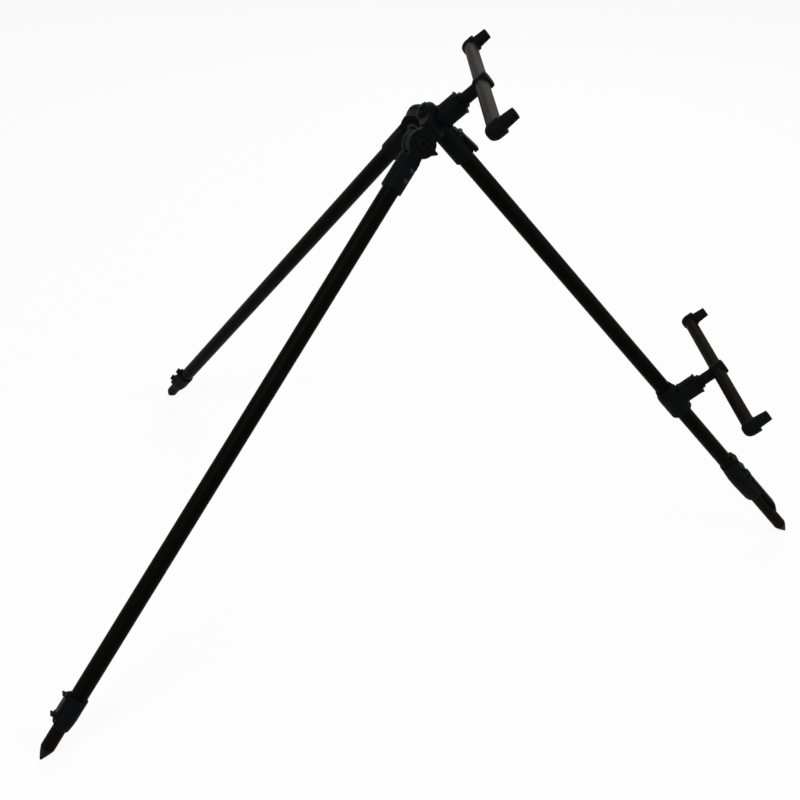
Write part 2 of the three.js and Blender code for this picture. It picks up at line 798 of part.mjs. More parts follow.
// The stem with the round head that grips the bar's middle.
function stem(name, base) {
  const barHeight = base + barAboveSeat;
  const body = moved(revolve([
    [0, base + stemAboveSeat],
    [stemRadius, base + stemAboveSeat],
    [stemRadius, barHeight - stemFlareStart],
    [stemHeadRadius, barHeight - stemFlareEnd],
    [stemHeadRadius, barHeight + stemHeadTop - stemHeadCorner],
    [stemHeadRadius - stemHeadCorner, barHeight + stemHeadTop],
    [0, barHeight + stemHeadTop],
  ], bossSides), alongX(0, 0, 0));
  const past = stemHeadRadius + cutOverrun;
  const bore = moved(rod(barRadius + fitGap, -past, past), alongY(barHeight, 0, 0));
  return named(name, body.subtract(bore), blackPlastic);
}

function bar(name, base, material) {
  const body = ring(barRadius - barWall, barRadius, -barHalfLength, barHalfLength);
  return named(name, moved(body, alongY(base + barAboveSeat, 0, 0)), material);
}

const postSeat = (base, side) => alongX(base + barAboveSeat, side * (barHalfLength - barPastPost), 0);
const capSeat = (base, side) => alongX(base + barAboveSeat, side * (barHalfLength - barPastPost + capPastPost), 0);

// End cap: a round boss across the bar's end, with the post that a rod rest screws into.
function endCap(name, base, side) {
  const bowl = arc([0, 0], 1, -Math.PI / 2, 0, arcSteps - 1).map(([out, up]) => [
    capBottomRadius + (capRadius - capBottomRadius) * out,
    capBottom * up,
  ]);
  const boss = moved(revolve([
    [0, -capBottom],
    ...bowl,
    [capRadius, capWaist],
    [capRadius - capShoulderInset, capShoulder],
    [0, capShoulder],
  ], bossSides), capSeat(base, side));
  const post = moved(revolve([
    [0, capWaist],
    [postBaseRadius, capWaist],
    [postBaseRadius, capShoulder],
    [postRadius, postHeight],
    [0, postHeight],
  ], bossSides), postSeat(base, side));
  const turn = new THREE.Matrix4().makeRotationX(side > 0 ? 0 : Math.PI);
  const mouth = barHalfLength - capRadius - cutOverrun;
  const bore = moved(rod(barRadius + fitGap, mouth, barHalfLength + fitGap),
    alongY(base + barAboveSeat, 0, 0).multiply(turn));
  const floor = postHeight - insertSunk - insertLength - fitGap;
  const socket = moved(rod(insertRadius + fitGap, floor, postHeight + cutOverrun), postSeat(base, side));
  return named(name, joined(boss, post).subtract(bore).subtract(socket), blackPlastic);
}

function threadInsert(name, base, side) {
  const top = postHeight - insertSunk;
  const body = ring(insertBoreRadius, insertRadius, top - insertLength, top, insertSides);
  return named(name, moved(body, postSeat(base, side)), insertBrass);
}

function crossbar(label, base, barTurn, material) {
  const turned = new THREE.Group();
  turned.rotation.x = barTurn;
  turned.add(
    collet(`${label}_collet`, base),
    stem(`${label}_stem`, base),
    bar(`${label}_bar`, base, material),
    endCap(`${label}_near_cap`, base, 1),
    endCap(`${label}_far_cap`, base, -1),
    threadInsert(`${label}_near_insert`, base, 1),
    threadInsert(`${label}_far_insert`, base, -1),
  );
  const fitting = new THREE.Group();
  fitting.add(ferrule(`${label}_ferrule`, base), lockNut(`${label}_lock_nut`, base), turned);
  return fitting;
}

function slideClamp() {
  const shell = revolve([
    [socketBore, -clampUpLength],
    [socketBore + clampTopWall, -clampUpLength],
    [socketBore + clampWall / 2, -clampUpLength + clampShoulder / 2],
    ...arc([socketBore, -clampUpLength + clampShoulder], clampWall, -Math.PI / 4, 0),
    [socketBore + clampWall, clampDownLength],
    [socketBore, clampDownLength],
  ], tubeSides);
  const pedestal = moved(rod(lockNutRadius, 0, clampPedestalTop), alongX(0, 0, 0));
  const bore = rod(socketBore, -clampUpLength - cutOverrun, clampDownLength + cutOverrun, tubeSides);
  const nutSeat = moved(
    rod(lockNutRadius + lockNutLip + fitGap, clampPedestalTop, clampPedestalTop + barAboveSeat),
    alongX(0, 0, 0),
  );
  return named('slide_clamp', joined(shell, pedestal).subtract(nutSeat).subtract(bore), blackPlastic);
}

// The front leg with everything that it carries. Its frame: +Z down the leg, +X away from the rear legs.
function frontLeg() {
  const lockPinPlace = frontLockBottomPlace - frontPinFromBottom;
  const lugOuter = leverWidth / 2 + fitGap + lugThickness;
  const leg = new THREE.Group();
  leg.add(
    headBody(),
    headLever(),
    lockPin('head_lever_pin', headPinHeight, headPinPlace, lugOuter),
    outerTube('front_outer_tube', frontTubeStart, frontLockTopPlace + frontLockSeat),
    innerTube('front_inner_tube', frontLegReach - spikeConeLength - fitGap),
    guideBush('front_guide_bush'),
    spike('front_spike', frontLegReach),
    frontLockHousing('front_lock_housing'),
    frontLockLever('front_lock_lever'),
    lockPin('front_lock_pin', leverPinHeight, lockPinPlace, lugOuter),
  );
  const upper = crossbar('upper', pedestalTop, upperBarTurn, upperBarPaint);
  upper.position.z = stemOffset;
  upper.rotation.z = upperSwivel;
  const lower = crossbar('lower', clampPedestalTop, lowerBarTurn, lowerBarPaint);
  lower.add(slideClamp());
  lower.position.z = clampPlace;
  lower.rotation.z = lowerSwivel;
  leg.add(upper, lower, rearLeg('near', 1), rearLeg('far', -1));
  return leg;
}

// The front leg leans so that all three spikes reach the ground together.
function standing(pod) {
  const rearTip = new THREE.Vector3(0, 0, rearLegReach)
    .applyAxisAngle(new THREE.Vector3(0, 1, 0), -openingAngle)
    .applyAxisAngle(new THREE.Vector3(0, 0, 1), -hingeTilt)
    .add(new THREE.Vector3(-hingeBelow, hingeSideways, 0));
  const slope = Math.atan2(-rearTip.x, frontLegReach - rearTip.z);
  const away = new THREE.Vector3(Math.sin(slope), 0, Math.cos(slope));
  const across = new THREE.Vector3(0, -1, 0);
  const down = new THREE.Vector3(Math.cos(slope), 0, -Math.sin(slope));
  pod.quaternion.setFromRotationMatrix(new THREE.Matrix4().makeBasis(away, across, down));
  pod.updateMatrixWorld(true);
  const extent = new THREE.Box3().setFromObject(pod, true);
  const middle = extent.getCenter(new THREE.Vector3());
  pod.position.set(-middle.x, -middle.y, -extent.min.z);
  return pod;
}

const rodPod = standing(frontLeg());
rodPod.name = 'rod_pod';

export default rodPod;
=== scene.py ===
"""A three-legged fishing rod pod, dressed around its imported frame.

Sizes are in millimetres in each sub-assembly's own frame, and every mesh is placed in metres.
"""
import json
import logging
import math
from dataclasses import dataclass, field
from enum import Enum
from typing import Iterable, Sequence

import bmesh
import bpy
from mathutils import Matrix, Vector


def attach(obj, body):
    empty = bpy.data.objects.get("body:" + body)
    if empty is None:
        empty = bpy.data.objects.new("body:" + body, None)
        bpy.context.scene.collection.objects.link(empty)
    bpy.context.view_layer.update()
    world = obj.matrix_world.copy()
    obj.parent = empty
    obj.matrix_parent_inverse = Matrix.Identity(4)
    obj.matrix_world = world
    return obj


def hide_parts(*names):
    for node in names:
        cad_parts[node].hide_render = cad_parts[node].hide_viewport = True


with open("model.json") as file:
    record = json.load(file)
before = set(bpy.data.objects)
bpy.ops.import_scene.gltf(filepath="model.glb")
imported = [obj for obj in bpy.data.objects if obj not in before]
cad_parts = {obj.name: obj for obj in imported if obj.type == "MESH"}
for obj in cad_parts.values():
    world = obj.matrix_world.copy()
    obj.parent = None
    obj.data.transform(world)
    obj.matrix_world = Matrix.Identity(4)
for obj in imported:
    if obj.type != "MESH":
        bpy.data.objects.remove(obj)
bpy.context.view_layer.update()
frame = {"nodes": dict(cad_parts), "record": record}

LOG = logging.getLogger("rod_pod")
MILLIMETRE = 0.001
ROUND_SIDES = 72
SMALL_SIDES = 32
ARC_STEPS = 10
HEX_SIDES = 6
SMOOTH_ANGLE = math.radians(32)
EDGE_ANGLE = math.radians(40)
OVERRUN = 4.0
FIT = 0.3
SNUG = 0.12
WELD = 1e-4
Point2 = tuple[float, float]
Colour = tuple[float, float, float]
Mesh = bpy.types.Mesh
Material = bpy.types.Material
Node = bpy.types.Node
Socket = bpy.types.NodeSocket
Tree = bpy.types.NodeTree


class Carve(Enum):
    """What a closed mesh does to the one that it meets."""

    JOIN = "UNION"
    CUT = "DIFFERENCE"


class Side(Enum):
    """The two rear legs and the two ends of a crossbar."""

    NEAR = 1
    FAR = -1

    @property
    def label(self) -> str:
        """The side's word in the names of bodies and nodes."""
        return self.name.lower()


# ---- mesh tools


def arc(centre: Point2, radius: float, start: float, end: float, steps: int = ARC_STEPS) -> list[Point2]:
    """Points on an arc.

    Args:
        centre: The arc's centre.
        radius: Its radius.
        start: The first angle, in radians.
        end: The last angle, in radians.
        steps: The number of chords.

    Returns:
        The points, both ends included.
    """
    turn = (end - start) / steps
    return [(centre[0] + radius * math.cos(start + turn * i), centre[1] + radius * math.sin(start + turn * i))
            for i in range(steps + 1)]


def closed_mesh(verts: Sequence[Sequence[float]], faces: Sequence[Sequence[int]]) -> Mesh:
    """A mesh with its doubles merged and its faces pointing out.

    Args:
        verts: The vertices.
        faces: The faces, as indices of the vertices.

    Returns:
        The mesh.
    """
    mesh = bpy.data.meshes.new("shape")
    mesh.from_pydata([tuple(v) for v in verts], [], [tuple(f) for f in faces])
    tidy = bmesh.new()
    tidy.from_mesh(mesh)
    bmesh.ops.remove_doubles(tidy, verts=tidy.verts, dist=WELD)
    bmesh.ops.recalc_face_normals(tidy, faces=tidy.faces)
    tidy.to_mesh(mesh)
    tidy.free()
    return mesh


def turned(profile: Sequence[Point2], sides: int = ROUND_SIDES) -> Mesh:
    """A solid of revolution about Z.

    Args:
        profile: A closed outline of (radius, z) points.
        sides: The number of sides.

    Returns:
        The mesh.
    """
    verts: list[tuple[float, float, float]] = []
    for r, z in profile:
        for k in range(sides):
            angle = 2 * math.pi * k / sides
            verts.append((r * math.cos(angle), r * math.sin(angle), z))
    faces = []
    count = len(profile)
    for i in range(count):
        j = (i + 1) % count
        if profile[i][0] == 0 and profile[j][0] == 0:
            continue
        for k in range(sides):
            m = (k + 1) % sides
            quad = [i * sides + k, i * sides + m, j * sides + m, j * sides + k]
            if profile[i][0] == 0:
                quad.pop(1)
            elif profile[j][0] == 0:
                quad.pop(2)
            faces.append(quad)
    return closed_mesh(verts, faces)


def extruded(outline: Sequence[Point2], low: float, high: float) -> Mesh:
    """An outline of (x, y) points drawn out along Z from low to high."""
    count = len(outline)
    verts = [(x, y, low) for x, y in outline] + [(x, y, high) for x, y in outline]
    faces = [list(range(count)), list(range(count, 2 * count))]
    faces += [[i, (i + 1) % count, count + (i + 1) % count, count + i] for i in range(count)]
    return closed_mesh(verts, faces)


def side_extruded(outline: Sequence[Point2], half: float, offset: float = 0.0) -> Mesh:
    """An outline of (x, z) points drawn out across, along Y, by half to each side of offset."""
    mesh = extruded(outline, offset - half, offset + half)
    mesh.transform(Matrix(((1, 0, 0, 0), (0, 0, 1, 0), (0, 1, 0, 0), (0, 0, 0, 1))))
    mesh.flip_normals()
    return mesh


def block(x: Point2, y: Point2, z: Point2) -> Mesh:
    """A box between the two ends of each axis."""
    return extruded([(x[0], y[0]), (x[1], y[0]), (x[1], y[1]), (x[0], y[1])], z[0], z[1])


def pipe(bore: float, radius: float, low: float, high: float, sides: int = ROUND_SIDES,
         chamfer: float = 0.3) -> Mesh:
    """A tube about Z whose outer edges are broken by a small chamfer."""
    return turned([
        (bore, low), (radius - chamfer, low), (radius, low + chamfer), (radius, high - chamfer),
        (radius - chamfer, high), (bore, high),
    ], sides)


def rod(radius: float, low: float, high: float, sides: int = ROUND_SIDES, chamfer: float = 0.0) -> Mesh:
    """A round bar about Z, with chamfered ends where a chamfer is given."""
    if chamfer:
        return pipe(0, radius, low, high, sides, chamfer)
    return turned([(0, low), (radius, low), (radius, high), (0, high)], sides)


def along_x(mesh: Mesh, x: float = 0.0, y: float = 0.0, z: float = 0.0) -> Mesh:
    """The mesh with its own Z laid along X, moved to (x, y, z)."""
    mesh.transform(Matrix.Translation((x, y, z)) @ Matrix.Rotation(math.pi / 2, 4, "Y"))
    return mesh


def along_y(mesh: Mesh, x: float = 0.0, y: float = 0.0, z: float = 0.0,
            side: float = 1) -> Mesh:
    """The mesh with its own Z laid along Y, or along -Y for side -1, moved to (x, y, z)."""
    mesh.transform(Matrix.Translation((x, y, z)) @ Matrix.Rotation(-side * math.pi / 2, 4, "X"))
    return mesh


def carved(base: Mesh, join: Iterable[Mesh] = (),
           cut: Iterable[Mesh] = ()) -> Mesh:
    """Closed meshes joined to a base and then cut out of it.

    Args:
        base: The mesh to start from.
        join: Meshes that are added.
        cut: Meshes that are taken away.

    Returns:
        One closed mesh.
    """
    steps = [(mesh, Carve.JOIN) for mesh in join] + [(mesh, Carve.CUT) for mesh in cut]
    holder = bpy.data.objects.new("carving", base)
    bpy.context.scene.collection.objects.link(holder)
    tools = []
    for mesh, step in steps:
        tool = bpy.data.objects.new("tool", mesh)
        bpy.context.scene.collection.objects.link(tool)
        tools.append(tool)
        modifier = holder.modifiers.new("carve", "BOOLEAN")
        modifier.operation = step.value
        modifier.solver = "EXACT"
        modifier.object = tool
    bpy.context.view_layer.update()
    result = plain_copy(holder)
    for item in (holder, *tools):
        bpy.data.objects.remove(item, do_unlink=True)
    clean = bmesh.new()
    clean.from_mesh(result)
    bmesh.ops.remove_doubles(clean, verts=clean.verts, dist=WELD)
    bmesh.ops.dissolve_degenerate(clean, edges=clean.edges, dist=WELD)
    clean.to_mesh(result)
    clean.free()
    return result


def plain_copy(holder: bpy.types.Object) -> Mesh:
    """The object's evaluated shape as a mesh of its own."""
    graph = bpy.context.evaluated_depsgraph_get()
    return bpy.data.meshes.new_from_object(holder.evaluated_get(graph))


# ---- finishes


class NodeBench:
    """A material's node tree, with short calls to add nodes and join their sockets."""

    def __init__(self, name: str) -> None:
        """Start an empty tree with a shader and an output."""
        self.material = bpy.data.materials.new(name)
        self.material.use_nodes = True
        self.tree = self.material.node_tree
        self.tree.nodes.clear()
        self.shader = self.add("ShaderNodeBsdfPrincipled")
        output = self.add("ShaderNodeOutputMaterial")
        self.join(self.shader.outputs["BSDF"], output.inputs["Surface"])

    def add(self, kind: str, **settings: object) -> Node:
        """Add a node; settings that name a socket fill it, and others set a property."""
        node = self.tree.nodes.new(kind)
        for key, value in settings.items():
            if key in node.inputs:
                node.inputs[key].default_value = value
            else:
                setattr(node, key, value)
        return node

    def join(self, source: Socket, target: Socket) -> None:
        """Link two sockets."""
        self.tree.links.new(source, target)

    def coordinates(self, turn: Matrix | None, stretch: Sequence[float]) -> Socket:
        """Object coordinates turned into a piece's own frame and stretched.

        Args:
            turn: The piece's frame, or None to leave the pattern square to the object.
            stretch: How many pattern units a metre holds along each axis.

        Returns:
            The vector socket.
        """
        place = self.add("ShaderNodeTexCoord").outputs["Object"]
        if turn is not None:
            mapping = self.add("ShaderNodeMapping")
            mapping.inputs["Rotation"].default_value = turn.to_3x3().transposed().to_euler()
            self.join(place, mapping.inputs["Vector"])
            place = mapping.outputs["Vector"]
        scaled = self.add("ShaderNodeMapping")
        scaled.inputs["Scale"].default_value = stretch
        self.join(place, scaled.inputs["Vector"])
        return scaled.outputs["Vector"]

    def noise(self, vector: Socket, detail: float = 4.0, roughness: float = 0.55) -> Socket:
        """A noise pattern's value over the vector."""
        node = self.add("ShaderNodeTexNoise", Scale=1.0, Detail=detail, Roughness=roughness)
        self.join(vector, node.inputs["Vector"])
        return node.outputs["Fac"]

    def ranged(self, value: Socket, low: float, high: float,
               start: float = 0.3, end: float = 0.7) -> Socket:
        """The value between start and end spread from low to high."""
        node = self.add("ShaderNodeMapRange")
        for key, number in (("From Min", start), ("From Max", end), ("To Min", low), ("To Max", high)):
            node.inputs[key].default_value = number
        self.join(value, node.inputs["Value"])
        return node.outputs["Result"]

    def mixed(self, factor: Socket, first: Socket | Sequence[float],
              second: Sequence[float]) -> Socket:
        """A colour between two, by a factor; the first may be a socket."""
        node = self.add("ShaderNodeMix", data_type="RGBA")
        self.join(factor, node.inputs[0])
        if isinstance(first, Socket):
            self.join(first, node.inputs[6])
        else:
            node.inputs[6].default_value = (*first, 1)
        node.inputs[7].default_value = (*second, 1)
        return node.outputs[2]

    def rubbed(self, rubs: Socket, breaks: Socket, width: float) -> Socket:
        """Where handling shows: on rubbed patches, and along edges with gaps in the wear.

        Args:
            rubs: A mask of the rubbed patches.
            breaks: The noise that breaks up the wear along the edges.
            width: How far the wear reaches from an edge, in metres.

        Returns:
            The mask of both.
        """
        rounded = self.add("ShaderNodeBevel", samples=4, Radius=width)
        flat = self.add("ShaderNodeNewGeometry")
        match = self.add("ShaderNodeVectorMath", operation="DOT_PRODUCT")
        self.join(rounded.outputs["Normal"], match.inputs[0])
        self.join(flat.outputs["Normal"], match.inputs[1])
        along = self.add("ShaderNodeMath", operation="MULTIPLY")
        self.join(self.ranged(match.outputs["Value"], 0.9, 0.0, 0.82, 0.985), along.inputs[0])
        self.join(self.ranged(breaks, 0.15, 1.0, 0.40, 0.60), along.inputs[1])
        both = self.add("ShaderNodeMath", operation="MAXIMUM")
        self.join(rubs, both.inputs[0])
        self.join(along.outputs[0], both.inputs[1])
        return both.outputs[0]

    def relief(self, height: Socket, strength: float, depth: float,
               under: Socket | None = None) -> Socket:
        """A bump of that height in metres, on top of another where one is given."""
        node = self.add("ShaderNodeBump", Strength=strength, Distance=depth)
        self.join(height, node.inputs["Height"])
        if under is not None:
            self.join(under, node.inputs["Normal"])
        return node.outputs["Normal"]


@dataclass(frozen=True)
class Finish:
    """A surface's colour and gloss; each kind of surface adds its own texture.

    Attributes:
        name: The material's name.
        slot: The record's material slot.
        colour: The surface's linear colour.
        worn: The lighter colour that handling brings out.
        roughness: The shader's roughness.
        metallic: The shader's metallic value.
        specular: The shader's specular level.
        wear_width: How far the wear reaches from an edge, in metres.
    """

    name: str
    slot: str
    colour: Colour
    worn: Colour
    roughness: float
    metallic: float
    specular: float
    wear_width: float = field(default=0.0007, kw_only=True)

    def bench(self, suffix: str = "") -> NodeBench:
        """A new material with this finish's plain values set."""
        bench = NodeBench(f"{self.name}{suffix}")
        bench.shader.inputs["Metallic"].default_value = self.metallic
        bench.shader.inputs["Specular IOR Level"].default_value = self.specular
        return bench

    def coat(self, bench: NodeBench, tone: Socket | Colour, wear: Socket, gloss: Socket,
             spread: Point2) -> None:
        """Join the tone with its wear, and the uneven roughness, to the shader.

        Args:
            bench: The material's bench.
            tone: The colour under the wear.
            wear: The mask of the wear.
            gloss: The noise that the roughness follows.
            spread: How far the roughness falls and rises from the finish's own.
        """
        bench.join(bench.mixed(wear, tone, self.worn), bench.shader.inputs["Base Color"])
        rough = bench.ranged(gloss, self.roughness - spread[0], self.roughness + spread[1])
        bench.join(rough, bench.shader.inputs["Roughness"])

    def dress(self, suffix: str = "", turn: Matrix | None = None) -> Material:
        """The finished material."""
        raise NotImplementedError


@dataclass(frozen=True)
class Moulding(Finish):
    """Moulded plastic with a fine spark-eroded grain and faint flow marks."""

    grain: float = 2400.0
    grain_depth: float = 0.00005
    flow_scale: Colour = (60, 60, 22)
    scuff_scale: Colour = (420, 420, 70)

    def dress(self, suffix: str = "", turn: Matrix | None = None) -> Material:
        """The moulding's material, its flow marks laid along the piece's own frame."""
        bench = self.bench(suffix)
        flow = bench.noise(bench.coordinates(turn, self.flow_scale), 3.0)
        grain = bench.noise(bench.coordinates(None, (self.grain,) * 3), 2.0, 0.6)
        scuffs = bench.noise(bench.coordinates(turn, self.scuff_scale), 6.0, 0.7)
        tone = bench.mixed(bench.ranged(flow, 0, 1), self.colour, tuple(c * 1.45 for c in self.colour))
        wear = bench.rubbed(bench.ranged(scuffs, 0, 0.5, 0.60, 0.74), scuffs, self.wear_width)
        self.coat(bench, tone, wear, scuffs, (0.06, 0.10))
        broad = bench.relief(flow, 0.25, 0.0003)
        bench.join(bench.relief(grain, 0.35, self.grain_depth, broad), bench.shader.inputs["Normal"])
        return bench.material


@dataclass(frozen=True)
class Anodised(Finish):
    """Drawn tube, anodised: fine lines along the tube, cloudy tone and a few rub marks round it."""

    line_pitch: float = 1500.0
    cloud_scale: Colour = (38, 38, 9)
    rub_scale: Colour = (26, 26, 320)

    def dress(self, suffix: str = "", turn: Matrix | None = None) -> Material:
        """The tube's material, its drawn lines laid along the tube's own Z."""
        bench = self.bench(suffix)
        lines = bench.noise(bench.coordinates(turn, (self.line_pitch, self.line_pitch, 18)), 3.0, 0.6)
        clouds = bench.noise(bench.coordinates(turn, self.cloud_scale), 3.0)
        rubs = bench.noise(bench.coordinates(turn, self.rub_scale), 5.0, 0.7)
        tone = bench.mixed(bench.ranged(clouds, 0, 1), self.colour, tuple(c * 1.35 for c in self.colour))
        wear = bench.rubbed(bench.ranged(rubs, 0, 0.45, 0.64, 0.78), rubs, self.wear_width)
        self.coat(bench, tone, wear, lines, (0.07, 0.07))
        bench.join(bench.relief(lines, 0.12, 0.00003), bench.shader.inputs["Normal"])
        return bench.material


@dataclass(frozen=True)
class Machined(Finish):
    """Small turned or blacked metal parts: an even tone with fine tool marks."""

    mark_pitch: float = 2600.0

    def dress(self, suffix: str = "", turn: Matrix | None = None) -> Material:
        """The metal's material, its tool marks running round the piece's own Z."""
        bench = self.bench(suffix)
        marks = bench.noise(bench.coordinates(turn, (60, 60, self.mark_pitch)), 2.0)
        tone = bench.noise(bench.coordinates(None, (300, 300, 300)), 4.0)
        wear = bench.rubbed(bench.ranged(tone, 0, 1), tone, self.wear_width)
        self.coat(bench, self.colour, wear, marks, (0.08, 0.10))
        bench.join(bench.relief(marks, 0.15, 0.00004), bench.shader.inputs["Normal"])
        return bench.material


BODY_PLASTIC = Moulding(
    "moulded_black", "black_plastic", (0.0016, 0.0017, 0.0020), (0.0062, 0.0061, 0.0064), 0.56, 0.0, 0.027)
LEVER_PLASTIC = Moulding(
    "lever_black", "lever_plastic", (0.0012, 0.0013, 0.0015), (0.0056, 0.0053, 0.0052), 0.46, 0.0, 0.032,
    grain=3200.0, grain_depth=0.00003)
TUBE_BLACK = Anodised(
    "tube_black", "tube_metal", (0.0011, 0.0009, 0.0008), (0.0042, 0.0034, 0.0027), 0.42, 0.0, 0.018)
INNER_BLACK = Anodised(
    "inner_tube_black", "inner_tube_metal", (0.0017, 0.0014, 0.0012), (0.0052, 0.0043, 0.0035), 0.46, 0.0,
    0.022)
SPIKE_BLACK = Machined(
    "spike_black", "spike_metal", (0.0014, 0.0013, 0.0012), (0.0050, 0.0045, 0.0041), 0.42, 0.0, 0.03)
UPPER_GREY = Anodised(
    "upper_bar_grey", "upper_bar_metal", (0.0105, 0.0078, 0.0056), (0.0210, 0.0168, 0.0132), 0.48, 0.0, 0.022)
LOWER_GREY = Anodised(
    "lower_bar_grey", "lower_bar_metal", (0.0018, 0.0014, 0.0010), (0.0052, 0.0043, 0.0035), 0.46, 0.0, 0.014)
BLACK_STEEL = Machined(
    "black_steel", "black_steel", (0.0080, 0.0080, 0.0090), (0.0220, 0.0215, 0.0220), 0.42, 0.4, 0.18)
DULL_STEEL = Machined(
    "dull_steel", "black_steel", (0.0016, 0.0016, 0.0018), (0.0036, 0.0036, 0.0038), 0.55, 0.0, 0.026)
BRASS = Machined("turned_brass", "brass", (0.360, 0.215, 0.055), (0.520, 0.340, 0.110), 0.30, 1.0, 0.5)


# ---- repeats


class Repeats:
    """Geometry Nodes trees for what repeats on the pod: rows of grip rings and coils of thread."""

    def __init__(self) -> None:
        """Build each tree once."""
        self.ring_row = self._ring_row()
        self.thread_coil = self._thread_coil()

    @staticmethod
    def _tree(name: str, inputs: Sequence[tuple[str, str]]) -> tuple[Tree, Node, Node]:
        """An empty tree with named inputs, and its two ends."""
        tree = bpy.data.node_groups.new(name, "GeometryNodeTree")
        tree.interface.new_socket(name="Geometry", in_out="OUTPUT", socket_type="NodeSocketGeometry")
        for title, kind in inputs:
            tree.interface.new_socket(name=title, in_out="INPUT", socket_type=kind)
        return tree, tree.nodes.new("NodeGroupInput"), tree.nodes.new("NodeGroupOutput")

    @staticmethod
    def _swept(tree: Tree, start: Node, path: Socket, sides: int, caps: bool) -> Socket:
        """A round bead swept along a path.

        Args:
            tree: The tree that is built.
            start: Its input end, with a Bead Radius.
            path: The curve to follow.
            sides: The number of sides of the bead.
            caps: Whether the bead's ends are closed.

        Returns:
            The mesh's socket.
        """
        bead = tree.nodes.new("GeometryNodeCurvePrimitiveCircle")
        bead.inputs["Resolution"].default_value = sides
        tree.links.new(start.outputs["Bead Radius"], bead.inputs["Radius"])
        sweep = tree.nodes.new("GeometryNodeCurveToMesh")
        sweep.inputs["Fill Caps"].default_value = caps
        tree.links.new(path, sweep.inputs["Curve"])
        tree.links.new(bead.outputs["Curve"], sweep.inputs["Profile Curve"])
        return sweep.outputs["Mesh"]

    @staticmethod
    def _finish(tree: Tree, source: Socket, start: Node,
                end: Node) -> None:
        """Close a tree with Realize Instances and Set Material."""
        realize = tree.nodes.new("GeometryNodeRealizeInstances")
        painted = tree.nodes.new("GeometryNodeSetMaterial")
        tree.links.new(source, realize.inputs["Geometry"])
        tree.links.new(realize.outputs["Geometry"], painted.inputs["Geometry"])
        tree.links.new(start.outputs["Material"], painted.inputs["Material"])
        tree.links.new(painted.outputs["Geometry"], end.inputs["Geometry"])

    def _ring_row(self) -> Tree:
        """Round rings about Z, set out along it at one pitch."""
        tree, start, end = self._tree("ring_row", [
            ("Count", "NodeSocketInt"), ("Pitch", "NodeSocketVector"), ("Start", "NodeSocketVector"),
            ("Radius", "NodeSocketFloat"), ("Bead Radius", "NodeSocketFloat"),
            ("Material", "NodeSocketMaterial"),
        ])
        link = tree.links.new
        row = tree.nodes.new("GeometryNodeMeshLine")
        link(start.outputs["Count"], row.inputs["Count"])
        link(start.outputs["Start"], row.inputs["Start Location"])
        link(start.outputs["Pitch"], row.inputs["Offset"])
        circle = tree.nodes.new("GeometryNodeCurvePrimitiveCircle")
        circle.inputs["Resolution"].default_value = ROUND_SIDES
        link(start.outputs["Radius"], circle.inputs["Radius"])
        ring = self._swept(tree, start, circle.outputs["Curve"], 10, False)
        copies = tree.nodes.new("GeometryNodeInstanceOnPoints")
        link(row.outputs["Mesh"], copies.inputs["Points"])
        link(ring, copies.inputs["Instance"])
        self._finish(tree, copies.outputs["Instances"], start, end)
        return tree

    def _thread_coil(self) -> Tree:
        """A round bead wound in a helix about Z, for a screw thread."""
        tree, start, end = self._tree("thread_coil", [
            ("Turns", "NodeSocketFloat"), ("Radius", "NodeSocketFloat"), ("Length", "NodeSocketFloat"),
            ("Bead Radius", "NodeSocketFloat"), ("Material", "NodeSocketMaterial"),
        ])
        link = tree.links.new
        coil = tree.nodes.new("GeometryNodeCurveSpiral")
        coil.inputs["Resolution"].default_value = 28
        link(start.outputs["Turns"], coil.inputs["Rotations"])
        link(start.outputs["Radius"], coil.inputs["Start Radius"])
        link(start.outputs["Radius"], coil.inputs["End Radius"])
        link(start.outputs["Length"], coil.inputs["Height"])
        self._finish(tree, self._swept(tree, start, coil.outputs["Curve"], 6, True), start, end)
        return tree

    @staticmethod
    def made(tree: Tree, **values: object) -> Mesh:
        """A plain mesh from a tree, with its inputs set by their identifiers.

        Args:
            tree: One of the trees.
            values: The inputs, by title with underscores for spaces.

        Returns:
            The mesh, in millimetres, in the tree's own frame.
        """
        carrier = bpy.data.objects.new("carrier", bpy.data.meshes.new("carrier"))
        bpy.context.scene.collection.objects.link(carrier)
        modifier = carrier.modifiers.new("repeat", "NODES")
        modifier.node_group = tree
        sockets = [item for item in tree.interface.items_tree if item.in_out == "INPUT"]
        identifiers = {item.name: item.identifier for item in sockets}
        for title, value in values.items():
            modifier[identifiers[title.replace("_", " ")]] = value
        bpy.context.view_layer.update()
        mesh = plain_copy(carrier)
        bpy.data.objects.remove(carrier, do_unlink=True)
        return mesh


# ---- placing


@dataclass(frozen=True)
class Piece:
    """Where a made piece goes and what it stands for.

    Attributes:
        name: The piece's name.
        body: The body that it rides on.
        finish: Its finish.
        place: Its local frame in millimetres.
        stands_for: The nodes that it replaces.
        edge: The width of its broken edges.
    """

    name: str
    body: str
    finish: Finish
    place: Matrix
    stands_for: tuple[str, ...] = ()
    edge: float = 0.35


